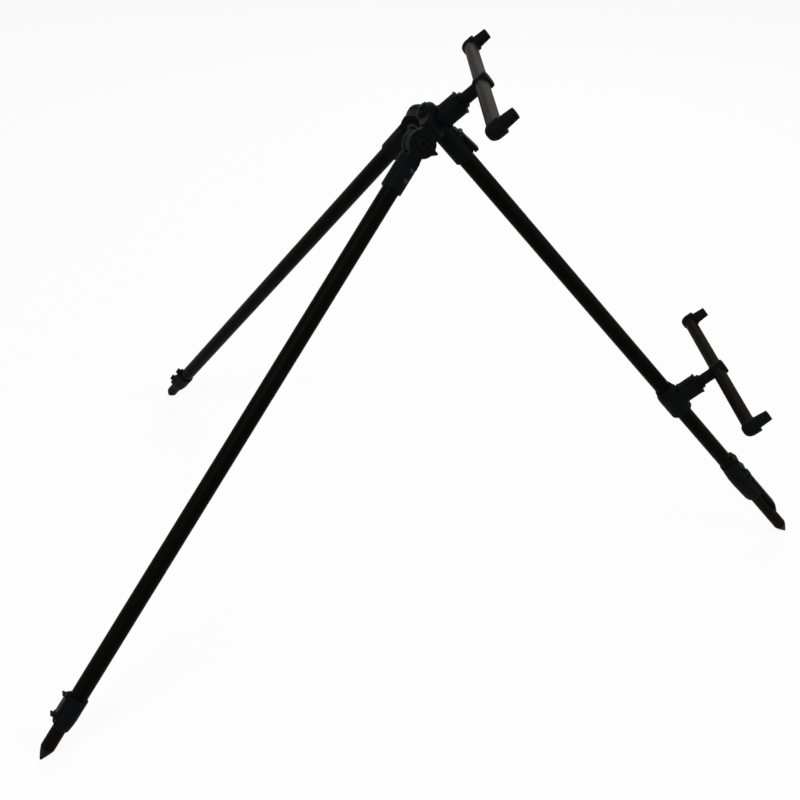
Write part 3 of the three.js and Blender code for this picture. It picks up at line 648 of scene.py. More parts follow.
class Bench:
    """Places finished meshes in the row's frame and keeps count of them."""

    def __init__(self) -> None:
        """Start with no materials made."""
        self.materials: dict[tuple[str, str], Material] = {}
        self.repeats = Repeats()
        self.placed = 0

    def material(self, finish: Finish, body: str, place: Matrix | None) -> Material:
        """The finish's material for one body, made once."""
        key = (finish.name, body)
        if key not in self.materials:
            self.materials[key] = finish.dress(f"_{body}", place)
        return self.materials[key]

    def put(self, mesh: Mesh, piece: Piece) -> bpy.types.Object:
        """Place a mesh as a piece of the pod.

        Args:
            mesh: The shape, in millimetres, in the piece's own frame.
            piece: Where it goes.

        Returns:
            The placed object.
        """
        mesh.transform(piece.place)
        mesh.transform(Matrix.Scale(MILLIMETRE, 4))
        mesh.name = piece.name
        mesh.shade_smooth()
        mesh.set_sharp_from_angle(angle=SMOOTH_ANGLE)
        mesh.materials.clear()
        mesh.materials.append(self.material(piece.finish, piece.body, piece.place))
        made = bpy.data.objects.new(piece.name, mesh)
        bpy.context.scene.collection.objects.link(made)
        if piece.edge > 0:
            bevel = made.modifiers.new("broken_edges", "BEVEL")
            bevel.width = piece.edge * MILLIMETRE
            bevel.segments = 2
            bevel.limit_method = "ANGLE"
            bevel.angle_limit = EDGE_ANGLE
            bevel.harden_normals = True
        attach(made, piece.body)
        if piece.stands_for:
            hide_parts(*piece.stands_for)
        self.placed += 1
        LOG.info("placed %s on %s", piece.name, piece.body)
        return made


def joint(name: str) -> dict:
    """The record's joint of that name."""
    return next(j for j in frame["record"]["behaviour"]["joints"] if j["name"] == name)


def joint_point(name: str) -> Vector:
    """A joint's place in millimetres."""
    return Vector(joint(name)["pos_m"]) / MILLIMETRE


def framed(origin: Vector, out: Vector, across: Vector, down: Vector) -> Matrix:
    """A frame from its origin and its three axes."""
    turn = Matrix((out, across, down)).transposed().to_4x4()
    return Matrix.Translation(origin) @ turn


# ---- the pod's shared sizes


@dataclass(frozen=True)
class TubeSizes:
    """The two telescoping tubes of every leg, in millimetres."""

    outer: float = 10.0
    inner: float = 8.2
    wall: float = 1.2
    socket_wall: float = 2.2
    lock_wall: float = 1.7

    @property
    def socket_bore(self) -> float:
        """The bore that the outer tube sits in."""
        return self.outer + FIT

    @property
    def inner_bore(self) -> float:
        """The bore that the inner tube runs in."""
        return self.inner + FIT

    @property
    def barrel(self) -> float:
        """The outside of a socket."""
        return self.socket_bore + self.socket_wall

    @property
    def lock(self) -> float:
        """The outside of a lock housing."""
        return self.socket_bore + self.lock_wall


@dataclass(frozen=True)
class LeverSizes:
    """What the cam levers share, in millimetres."""

    width: float = 9.4
    lug: float = 2.8
    pin: float = 1.5
    cam: float = 3.1
    rear_cam: float = 2.7
    clearance: float = 1.6

    @property
    def channel(self) -> float:
        """Half the gap between the lugs."""
        return self.width / 2 + FIT

    @property
    def lugs(self) -> float:
        """Half the width over the lugs."""
        return self.channel + self.lug


@dataclass(frozen=True)
class HingeSizes:
    """The bolt, nut and socket screws of a rear hinge, in millimetres."""

    bore: float = 4.3
    shank: float = 4.0
    head: float = 7.0
    head_seat: float = 3.0
    counterbore: float = 7.3
    key: float = 2.5
    nut: float = 7.6
    nut_thickness: float = 4.7
    nut_bore: float = 4.15
    nut_seat: float = 2.0
    nut_recess: float = 7.9
    screw_sunk: float = 0.85
    screw_seat: float = 2.9


TUBES = TubeSizes()
LEVERS = LeverSizes()
HINGE = HingeSizes()


def pin_cutter(height: float, place: float) -> Mesh:
    """The hole that a lever's pin sits in."""
    reach = LEVERS.lugs + OVERRUN
    return along_y(rod(LEVERS.pin + FIT / 2, -reach, reach, SMALL_SIDES), height, 0, place)


def lever_pin(height: float, place: float) -> Mesh:
    """A lever's pin with broken ends."""
    return along_y(rod(LEVERS.pin, -LEVERS.lugs, LEVERS.lugs, SMALL_SIDES, 0.25), height, 0, place)


def lever_blank(outline: Sequence[Point2], height: float, place: float) -> Mesh:
    """A lever of that outline, with the hole for its pin."""
    hole = along_y(rod(LEVERS.pin + FIT, -10, 10, SMALL_SIDES), height, 0, place)
    return carved(side_extruded(outline, LEVERS.width / 2), [], [hole])


# ---- sub-assemblies


@dataclass
class Head:
    """The moulded head with its rear-leg tongues and the cam lever on its socket."""

    bench: Bench
    place: Matrix
    hinges: dict[Side, Matrix]
    stem_seat: Matrix
    socket_end: float = 57.0
    crown: float = -21.0
    crown_radius: float = 5.5
    tube_start: float = 8.7
    seat: float = 11.8
    seat_radius: float = 14.8
    tongue_radius: float = 15.0
    tongue_half: float = 6.0
    arm_start: float = 16.4
    arm_root: float = 6.0
    arm_half_width: float = 9.0
    arm_half_height: float = 13.0
    pin_height: float = 13.4
    pin_place: float = 31.5
    lever_face: float = 17.6
    lever_tip: float = 58.6
    lug_height: float = 16.6

    def barrel(self) -> Mesh:
        """The socket with its domed crown."""
        radius = TUBES.barrel
        dome = [(self.crown_radius + 0.8 + (radius - self.crown_radius - 0.8) * math.sin(t * math.pi / 20),
                 self.crown + 2.4 + 8.4 * (1 - math.cos(t * math.pi / 20))) for t in range(11)]
        return turned([
            (0, self.crown), (self.crown_radius - 0.6, self.crown), (self.crown_radius, self.crown + 0.6),
            (self.crown_radius, self.crown + 2.0), *dome,
            (radius, self.socket_end - 0.8), (radius - 0.8, self.socket_end), (0, self.socket_end),
        ])

    def tongue(self, side: Side) -> Mesh:
        """The round tongue of one rear leg with the arm that carries it, in the head's frame."""
        hand = side.value
        hinge = self.place.inverted() @ self.hinges[side]
        to_barrel = hinge.inverted() @ Vector((0, 0, 0))
        root = Vector((self.arm_start + self.arm_root, hand * self.tongue_half, 0))
        way = (Vector((to_barrel.x, to_barrel.y, 0)) - root).normalized()
        edge = Vector((-way.y, way.x, 0)) * hand * self.arm_half_width
        disc = along_y(rod(self.tongue_radius, -self.tongue_half, self.tongue_half, ROUND_SIDES, 0.8))
        web_half, web_height = self.tongue_half - 0.04, self.arm_half_height - 2
        web = block((0, self.arm_start + 2), (-web_half, web_half), (-web_height, web_height))
        outline = [
            (self.arm_start, hand * self.tongue_half), (root.x, root.y),
            (to_barrel.x + edge.x, to_barrel.y + edge.y), (to_barrel.x, to_barrel.y),
            (to_barrel.x - edge.x, to_barrel.y - edge.y), (self.arm_start, -hand * self.tongue_half),
        ]
        arm = extruded(outline, -self.arm_half_height, self.arm_half_height)
        tongue = carved(disc, [web, arm], [along_y(rod(HINGE.bore, -20, 20, SMALL_SIDES))])
        tongue.transform(hinge)
        return tongue

    def lugs(self) -> Mesh:
        """The block that the cam lever turns in."""
        reach = self.lug_height - self.pin_height
        low, high = self.pin_place - self.lug_height / 2, self.pin_place + self.lug_height / 2
        return side_extruded([
            (0, low), (TUBES.barrel, low),
            *arc((self.pin_height, self.pin_place), reach, -math.pi / 2, math.pi / 2),
            (TUBES.barrel, high), (0, high),
        ], LEVERS.lugs)

    def on_seat(self, mesh: Mesh) -> Mesh:
        """The mesh laid along the upper crossbar's stem."""
        mesh = along_x(mesh)
        mesh.transform(self.place.inverted() @ self.stem_seat)
        return mesh

    def build(self) -> None:
        """Make and place the head's pieces."""
        room = LEVERS.cam + LEVERS.clearance
        half = LEVERS.channel
        cutters = [
            self.on_seat(rod(self.seat_radius, self.seat, 60)),
            block((0, 30), (-half, half), (self.pin_place - room, self.pin_place + room)),
            block((TUBES.barrel, 30), (-half, half), (self.pin_place, self.socket_end + OVERRUN)),
            rod(TUBES.socket_bore, self.tube_start, self.socket_end + OVERRUN),
            pin_cutter(self.pin_height, self.pin_place),
        ]
        pedestal = self.on_seat(rod(11.6, 0, self.seat))
        body = carved(self.barrel(), [pedestal, self.lugs(), *(self.tongue(s) for s in Side)], cutters)
        self.bench.put(body, Piece("head_moulding", "head", BODY_PLASTIC, self.place, ("head_body",), 0.5))
        self.bench.put(self.lever(), Piece("head_lever_moulding", "head_lever", LEVER_PLASTIC, self.place,
                                           ("head_lever",), 0.4))
        self.bench.put(lever_pin(self.pin_height, self.pin_place),
                       Piece("head_lever_pivot", "head", BLACK_STEEL, self.place, ("head_lever_pin",), 0))

    def lever(self) -> Mesh:
        """The head's cam lever, closed down over the socket."""
        underside = TUBES.barrel + FIT
        pin = (self.pin_height, self.pin_place)
        outline = [
            *arc(pin, LEVERS.cam, 0, -math.pi * 3 / 2, 24),
            (underside, self.pin_place + LEVERS.cam),
            (underside, self.lever_tip - 0.6),
            (underside + 0.6, self.lever_tip),
            (self.lever_face + 0.2, self.lever_tip),
            (self.lever_face + 0.6, self.lever_tip - 0.8),
            (self.lever_face - 0.4, self.pin_place + 16),
            (self.lever_face - 1.7, self.pin_place + LEVERS.cam),
        ]
        return lever_blank(outline, *pin)


@dataclass
class Leg:
    """What every leg has: two tubes and a spike, in a frame whose Z runs down the leg."""

    bench: Bench
    label: str
    body: str
    place: Matrix
    reach: float
    outer_start: float
    outer_end: float
    inner_start: float = 42.0
    cone: float = 17.0

    def put(self, mesh: Mesh, name: str, node: str, finish: Finish, edge: float = 0, body: str = "",
            place: Matrix | None = None) -> None:
        """Place one of the leg's pieces in place of its node.

        Args:
            mesh: The shape.
            name: The piece's name after the leg's own.
            node: The node's name after the leg's own.
            finish: Its finish.
            edge: The width of its broken edges.
            body: The body after the leg's name, where it isn't the leg's main body.
            place: Its frame, where it isn't the leg's.
        """
        rides = f"{self.label}_{body}" if body else self.body
        where = self.place if place is None else place
        stands_for = (f"{self.label}_{node}",)
        self.bench.put(mesh, Piece(f"{self.label}_{name}", rides, finish, where, stands_for, edge))

    def tubes(self) -> None:
        """Make and place the outer and the inner tube."""
        outer = pipe(TUBES.outer - TUBES.wall, TUBES.outer, self.outer_start, self.outer_end)
        self.put(outer, "outer_tube_drawn", "outer_tube", TUBE_BLACK)
        inner = pipe(TUBES.inner - TUBES.wall, TUBES.inner, self.inner_start, self.reach - self.cone - FIT)
        self.put(inner, "inner_tube_drawn", "inner_tube", INNER_BLACK, body="foot")

    def spike(self) -> None:
        """Make and place the turned spike."""
        plug = TUBES.inner - TUBES.wall - FIT
        shoulder = self.reach - self.cone
        taper = [(radius, shoulder + along) for radius, along in (
            (7.8, 0), (8.2, 0.4), (8.2, 0.7), (8.05, 1.6), (7.15, 4.0), (5.2, 8.6), (2.95, 13.0), (1.45, 16.0),
            (0.9, 16.8))]
        body = turned([
            (0, shoulder - 26), (plug - 0.6, shoulder - 26), (plug, shoulder - 25.4), (plug, shoulder),
            *taper, (0.3, self.reach), (0, self.reach),
        ])
        self.put(body, "spike_turned", "spike", SPIKE_BLACK, body="foot")


@dataclass
class RearLeg(Leg):
    """A rear leg: forked socket with its bolt and screws, tubes, spike and a short finned lock."""

    side: Side = Side.NEAR
    socket_end: float = 58.0
    socket_floor: float = 16.4
    cheek_radius: float = 15.8
    cheek_inner: float = 6.3
    cheek_outer: float = 12.3
    taper_end: float = 27.0
    taper_half: float = 9.5
    nub_reach: float = 20.6
    nub_rise: float = 2.8
    nub_fall: float = 5.6
    lock_bottom: float = 42.5
    lock_length: float = 40.0
    lock_seat: float = 24.0
    pin_height: float = 11.2
    pin_from_bottom: float = 9.0
    lever_top: float = 29.0
    lever_face: float = 13.2
    fin_reach: float = 18.2
    fin_thickness: float = 2.4
    lever_sunk: float = 0.85
    screw_places: tuple[float, float] = (29.5, 42.5)
    screw_turn: float = math.radians(26)

    def socket(self) -> Mesh:
        """The socket with its fork, counterbore, nut recess and screw seats."""
        radius = TUBES.barrel
        hand = self.side.value
        barrel = turned([
            (0, self.socket_floor), (radius - 1.7, self.socket_floor), (radius, self.socket_floor + 1.7),
            (radius, self.socket_end - 0.6), (radius - 0.6, self.socket_end), (0, self.socket_end),
        ])
        outline = [*arc((0, 0), self.cheek_radius, -math.pi * 4 / 3, math.pi / 3, 44),
                   (self.taper_half, self.taper_end), (-self.taper_half, self.taper_end)]
        half = (self.cheek_outer - self.cheek_inner) / 2
        middle = (self.cheek_outer + self.cheek_inner) / 2
        cheeks = [side_extruded(outline, half, sign * middle) for sign in (1, -1)]
        nub = side_extruded([
            (0, -self.nub_rise), (self.cheek_radius - 0.7, -self.nub_rise), (self.nub_reach - 0.6, -1.5),
            (self.nub_reach, -0.9), (self.nub_reach, 0.1), (self.nub_reach - 0.7, 1.0),
            (self.cheek_radius - 1.4, self.nub_fall), (0, self.nub_fall),
        ], half, hand * middle)
        cutters = [
            rod(TUBES.socket_bore, self.outer_start - FIT, self.socket_end + OVERRUN),
            along_y(rod(HINGE.bore, -30, 30, SMALL_SIDES)),
            along_y(rod(HINGE.counterbore, self.cheek_outer - HINGE.head_seat, 30), side=hand),
            along_y(rod(HINGE.nut_recess, self.cheek_outer - HINGE.nut_seat, 30, HEX_SIDES), side=-hand),
        ]
        for place in self.screw_places:
            seat = rod(HINGE.screw_seat, radius - HINGE.screw_sunk, radius + OVERRUN, SMALL_SIDES)
            cutters.append(self.on_screw(seat, place))
        return carved(barrel, [*cheeks, nub], cutters)

    def on_screw(self, mesh: Mesh, place: float) -> Mesh:
        """The mesh laid along a socket screw's axis."""
        turn = self.side.value * (math.pi / 2 - self.screw_turn)
        mesh.transform(Matrix.Translation((0, 0, place)) @ Matrix.Rotation(turn, 4, "Z")
                       @ Matrix.Rotation(math.pi / 2, 4, "Y"))
        return mesh

    def fasteners(self) -> None:
        """Make and place the hinge bolt, its nut and the socket's screws."""
        hand = self.side.value
        seat = self.cheek_outer - HINGE.head_seat + FIT
        tail = -self.cheek_outer - 3.3
        sixths = [math.pi * t / 12 for t in range(1, 7)]
        dome = [(HINGE.head - 3.4 * (1 - math.cos(t)), seat + 1.6 + 2.4 * math.sin(t)) for t in sixths]
        bolt = turned([
            (0, tail), (3.4, tail), (HINGE.shank, tail + 0.6), (HINGE.shank, seat), (HINGE.head, seat),
            (HINGE.head, seat + 1.6), *dome, (0, seat + 4),
        ])
        key = rod(HINGE.key, seat + 1.4, seat + 6, HEX_SIDES)
        bolt = along_y(carved(bolt, [], [key]), side=hand)
        self.put(bolt, "hinge_bolt_turned", "hinge_bolt", DULL_STEEL, 0.2)
        low = self.cheek_outer - HINGE.nut_seat + FIT
        nut = carved(rod(HINGE.nut, low, low + HINGE.nut_thickness, HEX_SIDES), [],
                     [rod(HINGE.nut_bore, 0, 30, SMALL_SIDES)])
        self.put(along_y(nut, side=-hand), "hinge_nut_pressed", "hinge_nut", BLACK_STEEL, 0.4)
        base = TUBES.barrel - HINGE.screw_sunk + FIT
        for index, place in enumerate(self.screw_places, 1):
            pan = turned([
                (0, TUBES.socket_bore), (1.3, TUBES.socket_bore), (1.3, base), (2.6, base),
                (2.6, base + 0.5), (2.2, base + 1.0), (1.4, base + 1.3), (0, base + 1.3),
            ], SMALL_SIDES)
            slots = [block((-1.7, 1.7), (-0.3, 0.3), (base + 0.6, base + 4)),
                     block((-0.3, 0.3), (-1.7, 1.7), (base + 0.6, base + 4))]
            self.put(self.on_screw(carved(pan, [], slots), place), f"socket_screw_{index}_pan",
                     f"socket_screw_{index}", BLACK_STEEL)

    def lock(self) -> None:
        """Make and place the finned cam lock."""
        outward = self.place @ Matrix.Rotation(math.pi, 4, "Z")
        bottom = self.reach - self.lock_bottom
        top = bottom - self.lock_length
        pin = bottom - self.pin_from_bottom
        radius = TUBES.lock
        shell = turned([
            (0, top), (radius - 0.85, top), (radius, top + 0.85), (radius, bottom - 15),
            (radius - 0.5, bottom - 9), (radius - 1.7, bottom - 0.6), (radius - 2.1, bottom), (0, bottom),
        ])
        rails = side_extruded([
            (6, top + 1.7), (11, top + 1.7), (12.7, top + 3.4), (12.7, pin - 4.7), (13.8, pin - 3),
            *arc((self.pin_height, pin), 2.75, -0.35, 1.0, 8), (6, bottom - 1.7),
        ], LEVERS.lugs)
        seat_end = top + self.lock_seat + FIT
        across = (-LEVERS.channel, LEVERS.channel)
        cutters = [
            block((radius - self.lever_sunk, 24), across, (top - OVERRUN, pin)),
            block((0, 24), across, (pin - LEVERS.rear_cam - FIT, bottom + OVERRUN)),
            rod(TUBES.socket_bore, top - OVERRUN, seat_end),
            rod(TUBES.inner_bore, seat_end - OVERRUN, bottom + OVERRUN),
            pin_cutter(self.pin_height, pin),
        ]
        housing = carved(shell, [rails], cutters)
        self.put(housing, "lock_moulding", "lock_housing", BODY_PLASTIC, 0.35, place=outward)
        self.put(lever_pin(self.pin_height, pin), "lock_pivot", "lock_pin", BLACK_STEEL, place=outward)
        self.put(self.lever(pin), "lock_lever_moulding", "lock_lever", LEVER_PLASTIC, 0.3, "lock_lever",
                 outward)

    def lever(self, pin: float) -> Mesh:
        """The short lever with its finger fin and heel fin."""
        underside = TUBES.lock - self.lever_sunk + FIT
        tip = pin - self.lever_top
        heel = pin - 3.2
        thick = self.fin_thickness
        face, fin = self.lever_face, self.fin_reach
        outline = [
            *arc((self.pin_height, pin), LEVERS.rear_cam, math.pi / 2, 3 * math.pi / 2, 16),
            (underside, pin - 5.4), (underside, tip + 0.5), (underside + 0.5, tip),
            (fin - 0.7, tip), (fin, tip + 0.7), (fin - 0.3, tip + thick / 2 + 0.4), (face + 0.6, tip + thick),
            (face, tip + thick + 0.8), (face, heel - 0.8),
            (face + 0.6, heel), (fin - 0.7, heel), (fin, heel + 0.7), (fin - 0.3, heel + thick / 2 + 0.4),
            (face, heel + thick), (face, pin + 1.35),
        ]
        return lever_blank(outline, self.pin_height, pin)

    def build(self) -> None:
        """Make and place the whole rear leg."""
        self.put(self.socket(), "socket_moulding", "socket", BODY_PLASTIC, 0.5)
        self.fasteners()
        self.tubes()
        self.spike()
        self.lock()


@dataclass
class FrontLeg(Leg):
    """The front leg: tubes, spike and the long cam lock."""

    lock_bottom: float = 88.0
    lock_length: float = 72.0
    skirt: float = 29.0
    bulge: float = 3.2
    lock_seat: float = 31.0
    pin_height: float = 11.6
    pin_from_bottom: float = 33.0
    lever_down: float = 77.0
    lever_face: float = 14.2
    lever_thickness: float = 5.3
    lever_bevel: float = 12.0
    rib_reach: float = 14.6
    rib_length: float = 14.0
    rib_pitch: float = 19.0

    def housing(self) -> Mesh:
        """The long housing with its flared skirt, back ribs and knuckle."""
        bottom = self.reach - self.lock_bottom
        top = bottom - self.lock_length
        pin = bottom - self.pin_from_bottom
        bore = TUBES.socket_bore
        fat = bore + self.bulge
        swell = [(bore + 1.1 + (self.bulge - 1.1) * (0.5 - 0.5 * math.cos(t * math.pi / 8)),
                  top + self.skirt * t / 8) for t in range(1, 9)]
        shell = turned([
            (0, top), (bore + 0.7, top), (bore + 1.1, top + 0.5), *swell, (fat, pin),
            (fat - 0.5, pin + 12), (TUBES.lock + 0.4, bottom - 4), (TUBES.lock - 0.85, bottom), (0, bottom),
        ])
        ribs = []
        for index in range(2):
            start = top - self.rib_length / 2 + index * self.rib_pitch
            ribs.append(side_extruded([
                (6, start), (bore + 1.1, start), (self.rib_reach - 2.4, start + 2.2),
                *arc((self.rib_reach - 2.6, start + self.rib_length - 3.6), 2.6, -0.5, 1.3, 8),
                (self.rib_reach - 3.2, start + self.rib_length), (6, start + self.rib_length),
            ], LEVERS.lugs))
        knuckle = side_extruded([
            (6, pin - 7), (self.rib_reach - 1.7, pin - 7), (self.rib_reach, pin - 4.7),
            (self.rib_reach, pin + 3.1), (TUBES.lock, pin + 14), (6, pin + 14),
        ], LEVERS.lugs)
        across = (-LEVERS.channel, LEVERS.channel)
        room = LEVERS.cam + LEVERS.clearance
        slot = self.lever_face - self.lever_thickness - FIT
        seat_end = top + self.lock_seat + FIT
        cutters = [
            block((0, 24), across, (pin - room, pin + room)),
            block((slot, 24), across, (pin - room, bottom + OVERRUN)),
            rod(bore, top - OVERRUN - self.rib_length, seat_end),
            rod(TUBES.inner_bore, seat_end - OVERRUN, bottom + OVERRUN),
            pin_cutter(self.pin_height, pin),
        ]
        return carved(shell, [*ribs, knuckle], cutters)

    def lever(self, pin: float) -> Mesh:
        """The long lever that lies down over the inner tube."""
        tip = pin + self.lever_down
        underside = self.lever_face - self.lever_thickness
        outline = [
            *arc((self.pin_height, pin), LEVERS.cam, 0, -math.pi * 3 / 2, 24),
            (underside, pin + LEVERS.cam), (underside, tip - 0.4), (underside + 0.3, tip),
            (underside + 1.2, tip - 1.4), (self.lever_face - 0.2, tip - self.lever_bevel + 0.6),
            (self.lever_face, tip - self.lever_bevel - 1.2), (self.lever_face, pin + LEVERS.cam),
        ]
        return lever_blank(outline, self.pin_height, pin)

    def build(self) -> None:
        """Make and place the front leg's tubes, spike and lock."""
        self.tubes()
        self.spike()
        pin = self.reach - self.lock_bottom - self.pin_from_bottom
        self.put(self.housing(), "lock_moulding", "lock_housing", BODY_PLASTIC, 0.4)
        self.put(self.lever(pin), "lock_lever_moulding", "lock_lever", LEVER_PLASTIC, 0.4, "lock_lever")
        self.put(lever_pin(self.pin_height, pin), "lock_pivot", "lock_pin", BLACK_STEEL)


@dataclass
class Crossbar:
    """A crossbar on its stem: lock nut, collet, stem, bar, end caps with posts and their threads.

    Its frame has X out along the stem, from the front leg's axis, and Z down the leg.
    """

    bench: Bench
    label: str
    place: Matrix
    turn: float
    base: float
    bar_finish: Finish
    bar_above_seat: float = 53.2
    half_length: float = 131.0
    bar_radius: float = 8.0
    past_post: float = 1.0
    stem_radius: float = 7.25
    head_radius: float = 10.0
    head_top: float = 10.9
    head_corner: float = 2.4
    flare_start: float = 9.6
    flare_end: float = 4.0
    nut_length: float = 24.6
    nut_radius: float = 13.3
    nut_lip: float = 1.2
    cap_radius: float = 9.8
    cap_past_post: float = 2.0
    cap_bottom: float = 10.0
    cap_bottom_radius: float = 2.5
    cap_shoulder: float = 9.4
    post_base: float = 7.4
    post_radius: float = 6.3
    post_height: float = 25.3
    insert_radius: float = 4.9
    insert_bore: float = 4.2
    insert_sunk: float = 3.2
    insert_length: float = 11.0

    @property
    def bar_height(self) -> float:
        """How far the bar's axis is from the front leg's axis."""
        return self.base + self.bar_above_seat

    @property
    def turned_place(self) -> Matrix:
        """The frame of what turns with the bar."""
        return self.place @ Matrix.Rotation(self.turn, 4, "X")

    def put(self, mesh: Mesh, name: str, node: str, body: str, finish: Finish, edge: float,
            turned_with_bar: bool = True) -> None:
        """Place one of the crossbar's pieces in place of its node."""
        where = self.turned_place if turned_with_bar else self.place
        self.bench.put(mesh, Piece(f"{self.label}_{name}", f"{self.label}_{body}", finish, where,
                                   (f"{self.label}_{node}",) if node else (), edge))

    def lock_nut(self) -> None:
        """Make and place the collared lock nut with its two finger tabs."""
        bore, mouth = 10.95, 8.65
        low, high = self.base + FIT, self.base + self.nut_length
        radius, lip = self.nut_radius, self.nut_radius + self.nut_lip
        body = turned([
            (bore, low), (lip - 0.3, low), (lip, low + 0.3), (lip - 0.1, low + 0.9), (radius + 0.2, low + 1.9),
            (radius, low + 2.4), (radius, high - 2.6), (radius + 0.2, high - 2.1), (lip - 0.1, high - 1.3),
            (lip - 0.2, high - 0.8), (radius, high), (mouth, high), (mouth, high - 3.4), (bore, high - 3.4),
        ])
        reach = (radius - 1.2, lip + 0.4)
        tabs = [block((-2.2, 2.2), sorted(hand * r for r in reach), (high - 2.0, high - 1.0))
                for hand in (1, -1)]
        for tab in tabs:
            tab.transform(Matrix.Rotation(math.pi / 2, 4, "Z"))
        nut = carved(body, tabs)
        nut.transform(Matrix.Rotation(math.pi / 2, 4, "Z"))
        self.put(along_x(nut), "lock_nut_moulding", "lock_nut", "lock_nut", BODY_PLASTIC, 0.25, False)

    def collet(self) -> None:
        """Make and place the split collet and the grip rings round its rim."""
        bore = self.stem_radius + FIT
        low, high = self.base + 9, self.base + self.nut_length
        body = turned([
            (bore, low), (bore + 1.1, low), (bore + 1.1, high + 0.3), (bore + 1.7, high + 0.3),
            (bore + 1.9, high + 0.6), (bore + 1.9, high + 4.0), (bore + 1.2, high + 5.0), (bore, high + 5.0),
        ])
        slits = [block((-0.3, 0.3), (0, 20), (low - OVERRUN, high - OVERRUN)) for _ in range(4)]
        for index, slit in enumerate(slits):
            slit.transform(Matrix.Rotation(math.pi / 2 * index + math.pi / 4, 4, "Z"))
        self.put(along_x(carved(body, [], slits)), "collet_moulding", "collet", "collet", LEVER_PLASTIC, 0)
        rings = Repeats.made(self.bench.repeats.ring_row, Count=3, Pitch=(0, 0, 1.25),
                             Start=(0, 0, high + 1.1), Radius=bore + 1.85, Bead_Radius=0.38)
        self.put(along_x(rings), "collet_rings", "", "collet", LEVER_PLASTIC, 0)

    def stem(self) -> None:
        """Make and place the stem with the round head that grips the bar."""
        centre = self.bar_height
        low = self.base + 0.6
        step = (self.flare_start - self.flare_end) / 8
        growth = self.head_radius - self.stem_radius
        flare = [(self.stem_radius + growth * (0.5 - 0.5 * math.cos(math.pi * t / 8)),
                  centre - self.flare_start + step * t) for t in range(9)]
        corner = arc((self.head_radius - self.head_corner, centre + self.head_top - self.head_corner),
                     self.head_corner, 0, math.pi / 2, 8)
        body = along_x(turned([
            (0, low), (self.stem_radius - 0.5, low), (self.stem_radius, low + 0.5), *flare, *corner,
            (0, centre + self.head_top),
        ]))
        reach = self.head_radius + OVERRUN
        bore = along_y(rod(self.bar_radius + SNUG, -reach, reach), centre, 0, 0)
        self.put(carved(body, [], [bore]), "stem_moulding", "stem", "crossbar", BODY_PLASTIC, 0.4)

    def bar(self) -> None:
        """Make and place the bar tube."""
        tube = along_y(pipe(self.bar_radius - 1.2, self.bar_radius, -self.half_length, self.half_length),
                       self.bar_height, 0, 0)
        bar_frame = self.turned_place @ Matrix.Rotation(-math.pi / 2, 4, "X")
        tube.transform(bar_frame.inverted() @ self.turned_place)
        self.bench.put(tube, Piece(f"{self.label}_bar_drawn", f"{self.label}_crossbar", self.bar_finish,
                                   bar_frame, (f"{self.label}_bar",), 0))

    def cap(self, side: Side) -> None:
        """Make and place one end cap, its threaded insert and the thread."""
        hand = side.value
        place = hand * (self.half_length - self.past_post)
        top = self.post_height
        swell = self.cap_radius - self.cap_bottom_radius
        quarter = [math.pi * t / 24 for t in range(1, 13)]
        bowl = [(self.cap_bottom_radius + swell * math.sin(t), -self.cap_bottom * math.cos(t))
                for t in quarter]
        shoulder = arc((self.cap_radius - 1.2, self.cap_shoulder - 1.2), 1.2, 0, math.pi / 2, 5)
        boss = along_x(turned([
            (0, -self.cap_bottom), (self.cap_bottom_radius - 0.6, -self.cap_bottom), *bowl, *shoulder,
            (0, self.cap_shoulder),
        ]), self.bar_height, place + hand * self.cap_past_post, 0)
        fillet = arc((self.post_base + 0.35, self.cap_shoulder + 0.35), 0.35, -math.pi / 2, -math.pi, 4)
        post = along_x(turned([
            (0, 0), (self.post_base, 0), (self.post_base, self.cap_shoulder - 0.8),
            (self.post_base + 0.35, self.cap_shoulder - 0.8), *fillet,
            (self.post_radius + 0.04, top - 0.4), (self.post_radius - 0.3, top), (0, top),
        ]), self.bar_height, place, 0)
        start = self.half_length - self.cap_radius - OVERRUN
        bore = along_y(rod(self.bar_radius + SNUG, start, self.half_length + FIT), self.bar_height, 0, 0, hand)
        floor = top - self.insert_sunk - self.insert_length
        socket = along_x(rod(self.insert_radius + SNUG, floor - FIT, top + OVERRUN), self.bar_height, place)
        name = f"{side.label}_cap"
        body = carved(boss, [post], [bore, socket])
        self.put(body, f"{name}_moulding", name, "crossbar", BODY_PLASTIC, 0.3)
        mouth = top - self.insert_sunk
        lining = along_x(turned([
            (self.insert_bore, floor), (self.insert_radius, floor), (self.insert_radius, mouth),
            (self.insert_bore + 0.5, mouth), (self.insert_bore, mouth - 0.6),
        ]), self.bar_height, place, 0)
        self.put(lining, f"{side.label}_insert_turned", f"{side.label}_insert", "crossbar", BRASS, 0)
        coil = Repeats.made(self.bench.repeats.thread_coil, Turns=7.0, Radius=self.insert_bore + 0.05,
                            Length=9.2, Bead_Radius=0.42)
        coil = along_x(coil, self.bar_height + floor + 0.8, place, 0)
        self.put(coil, f"{side.label}_insert_thread", "", "crossbar", BRASS, 0)

    def build(self) -> None:
        """Make and place everything from the lock nut to the caps."""
        self.lock_nut()
        self.collet()
        self.stem()
        self.bar()
        for side in Side:
            self.cap(side)


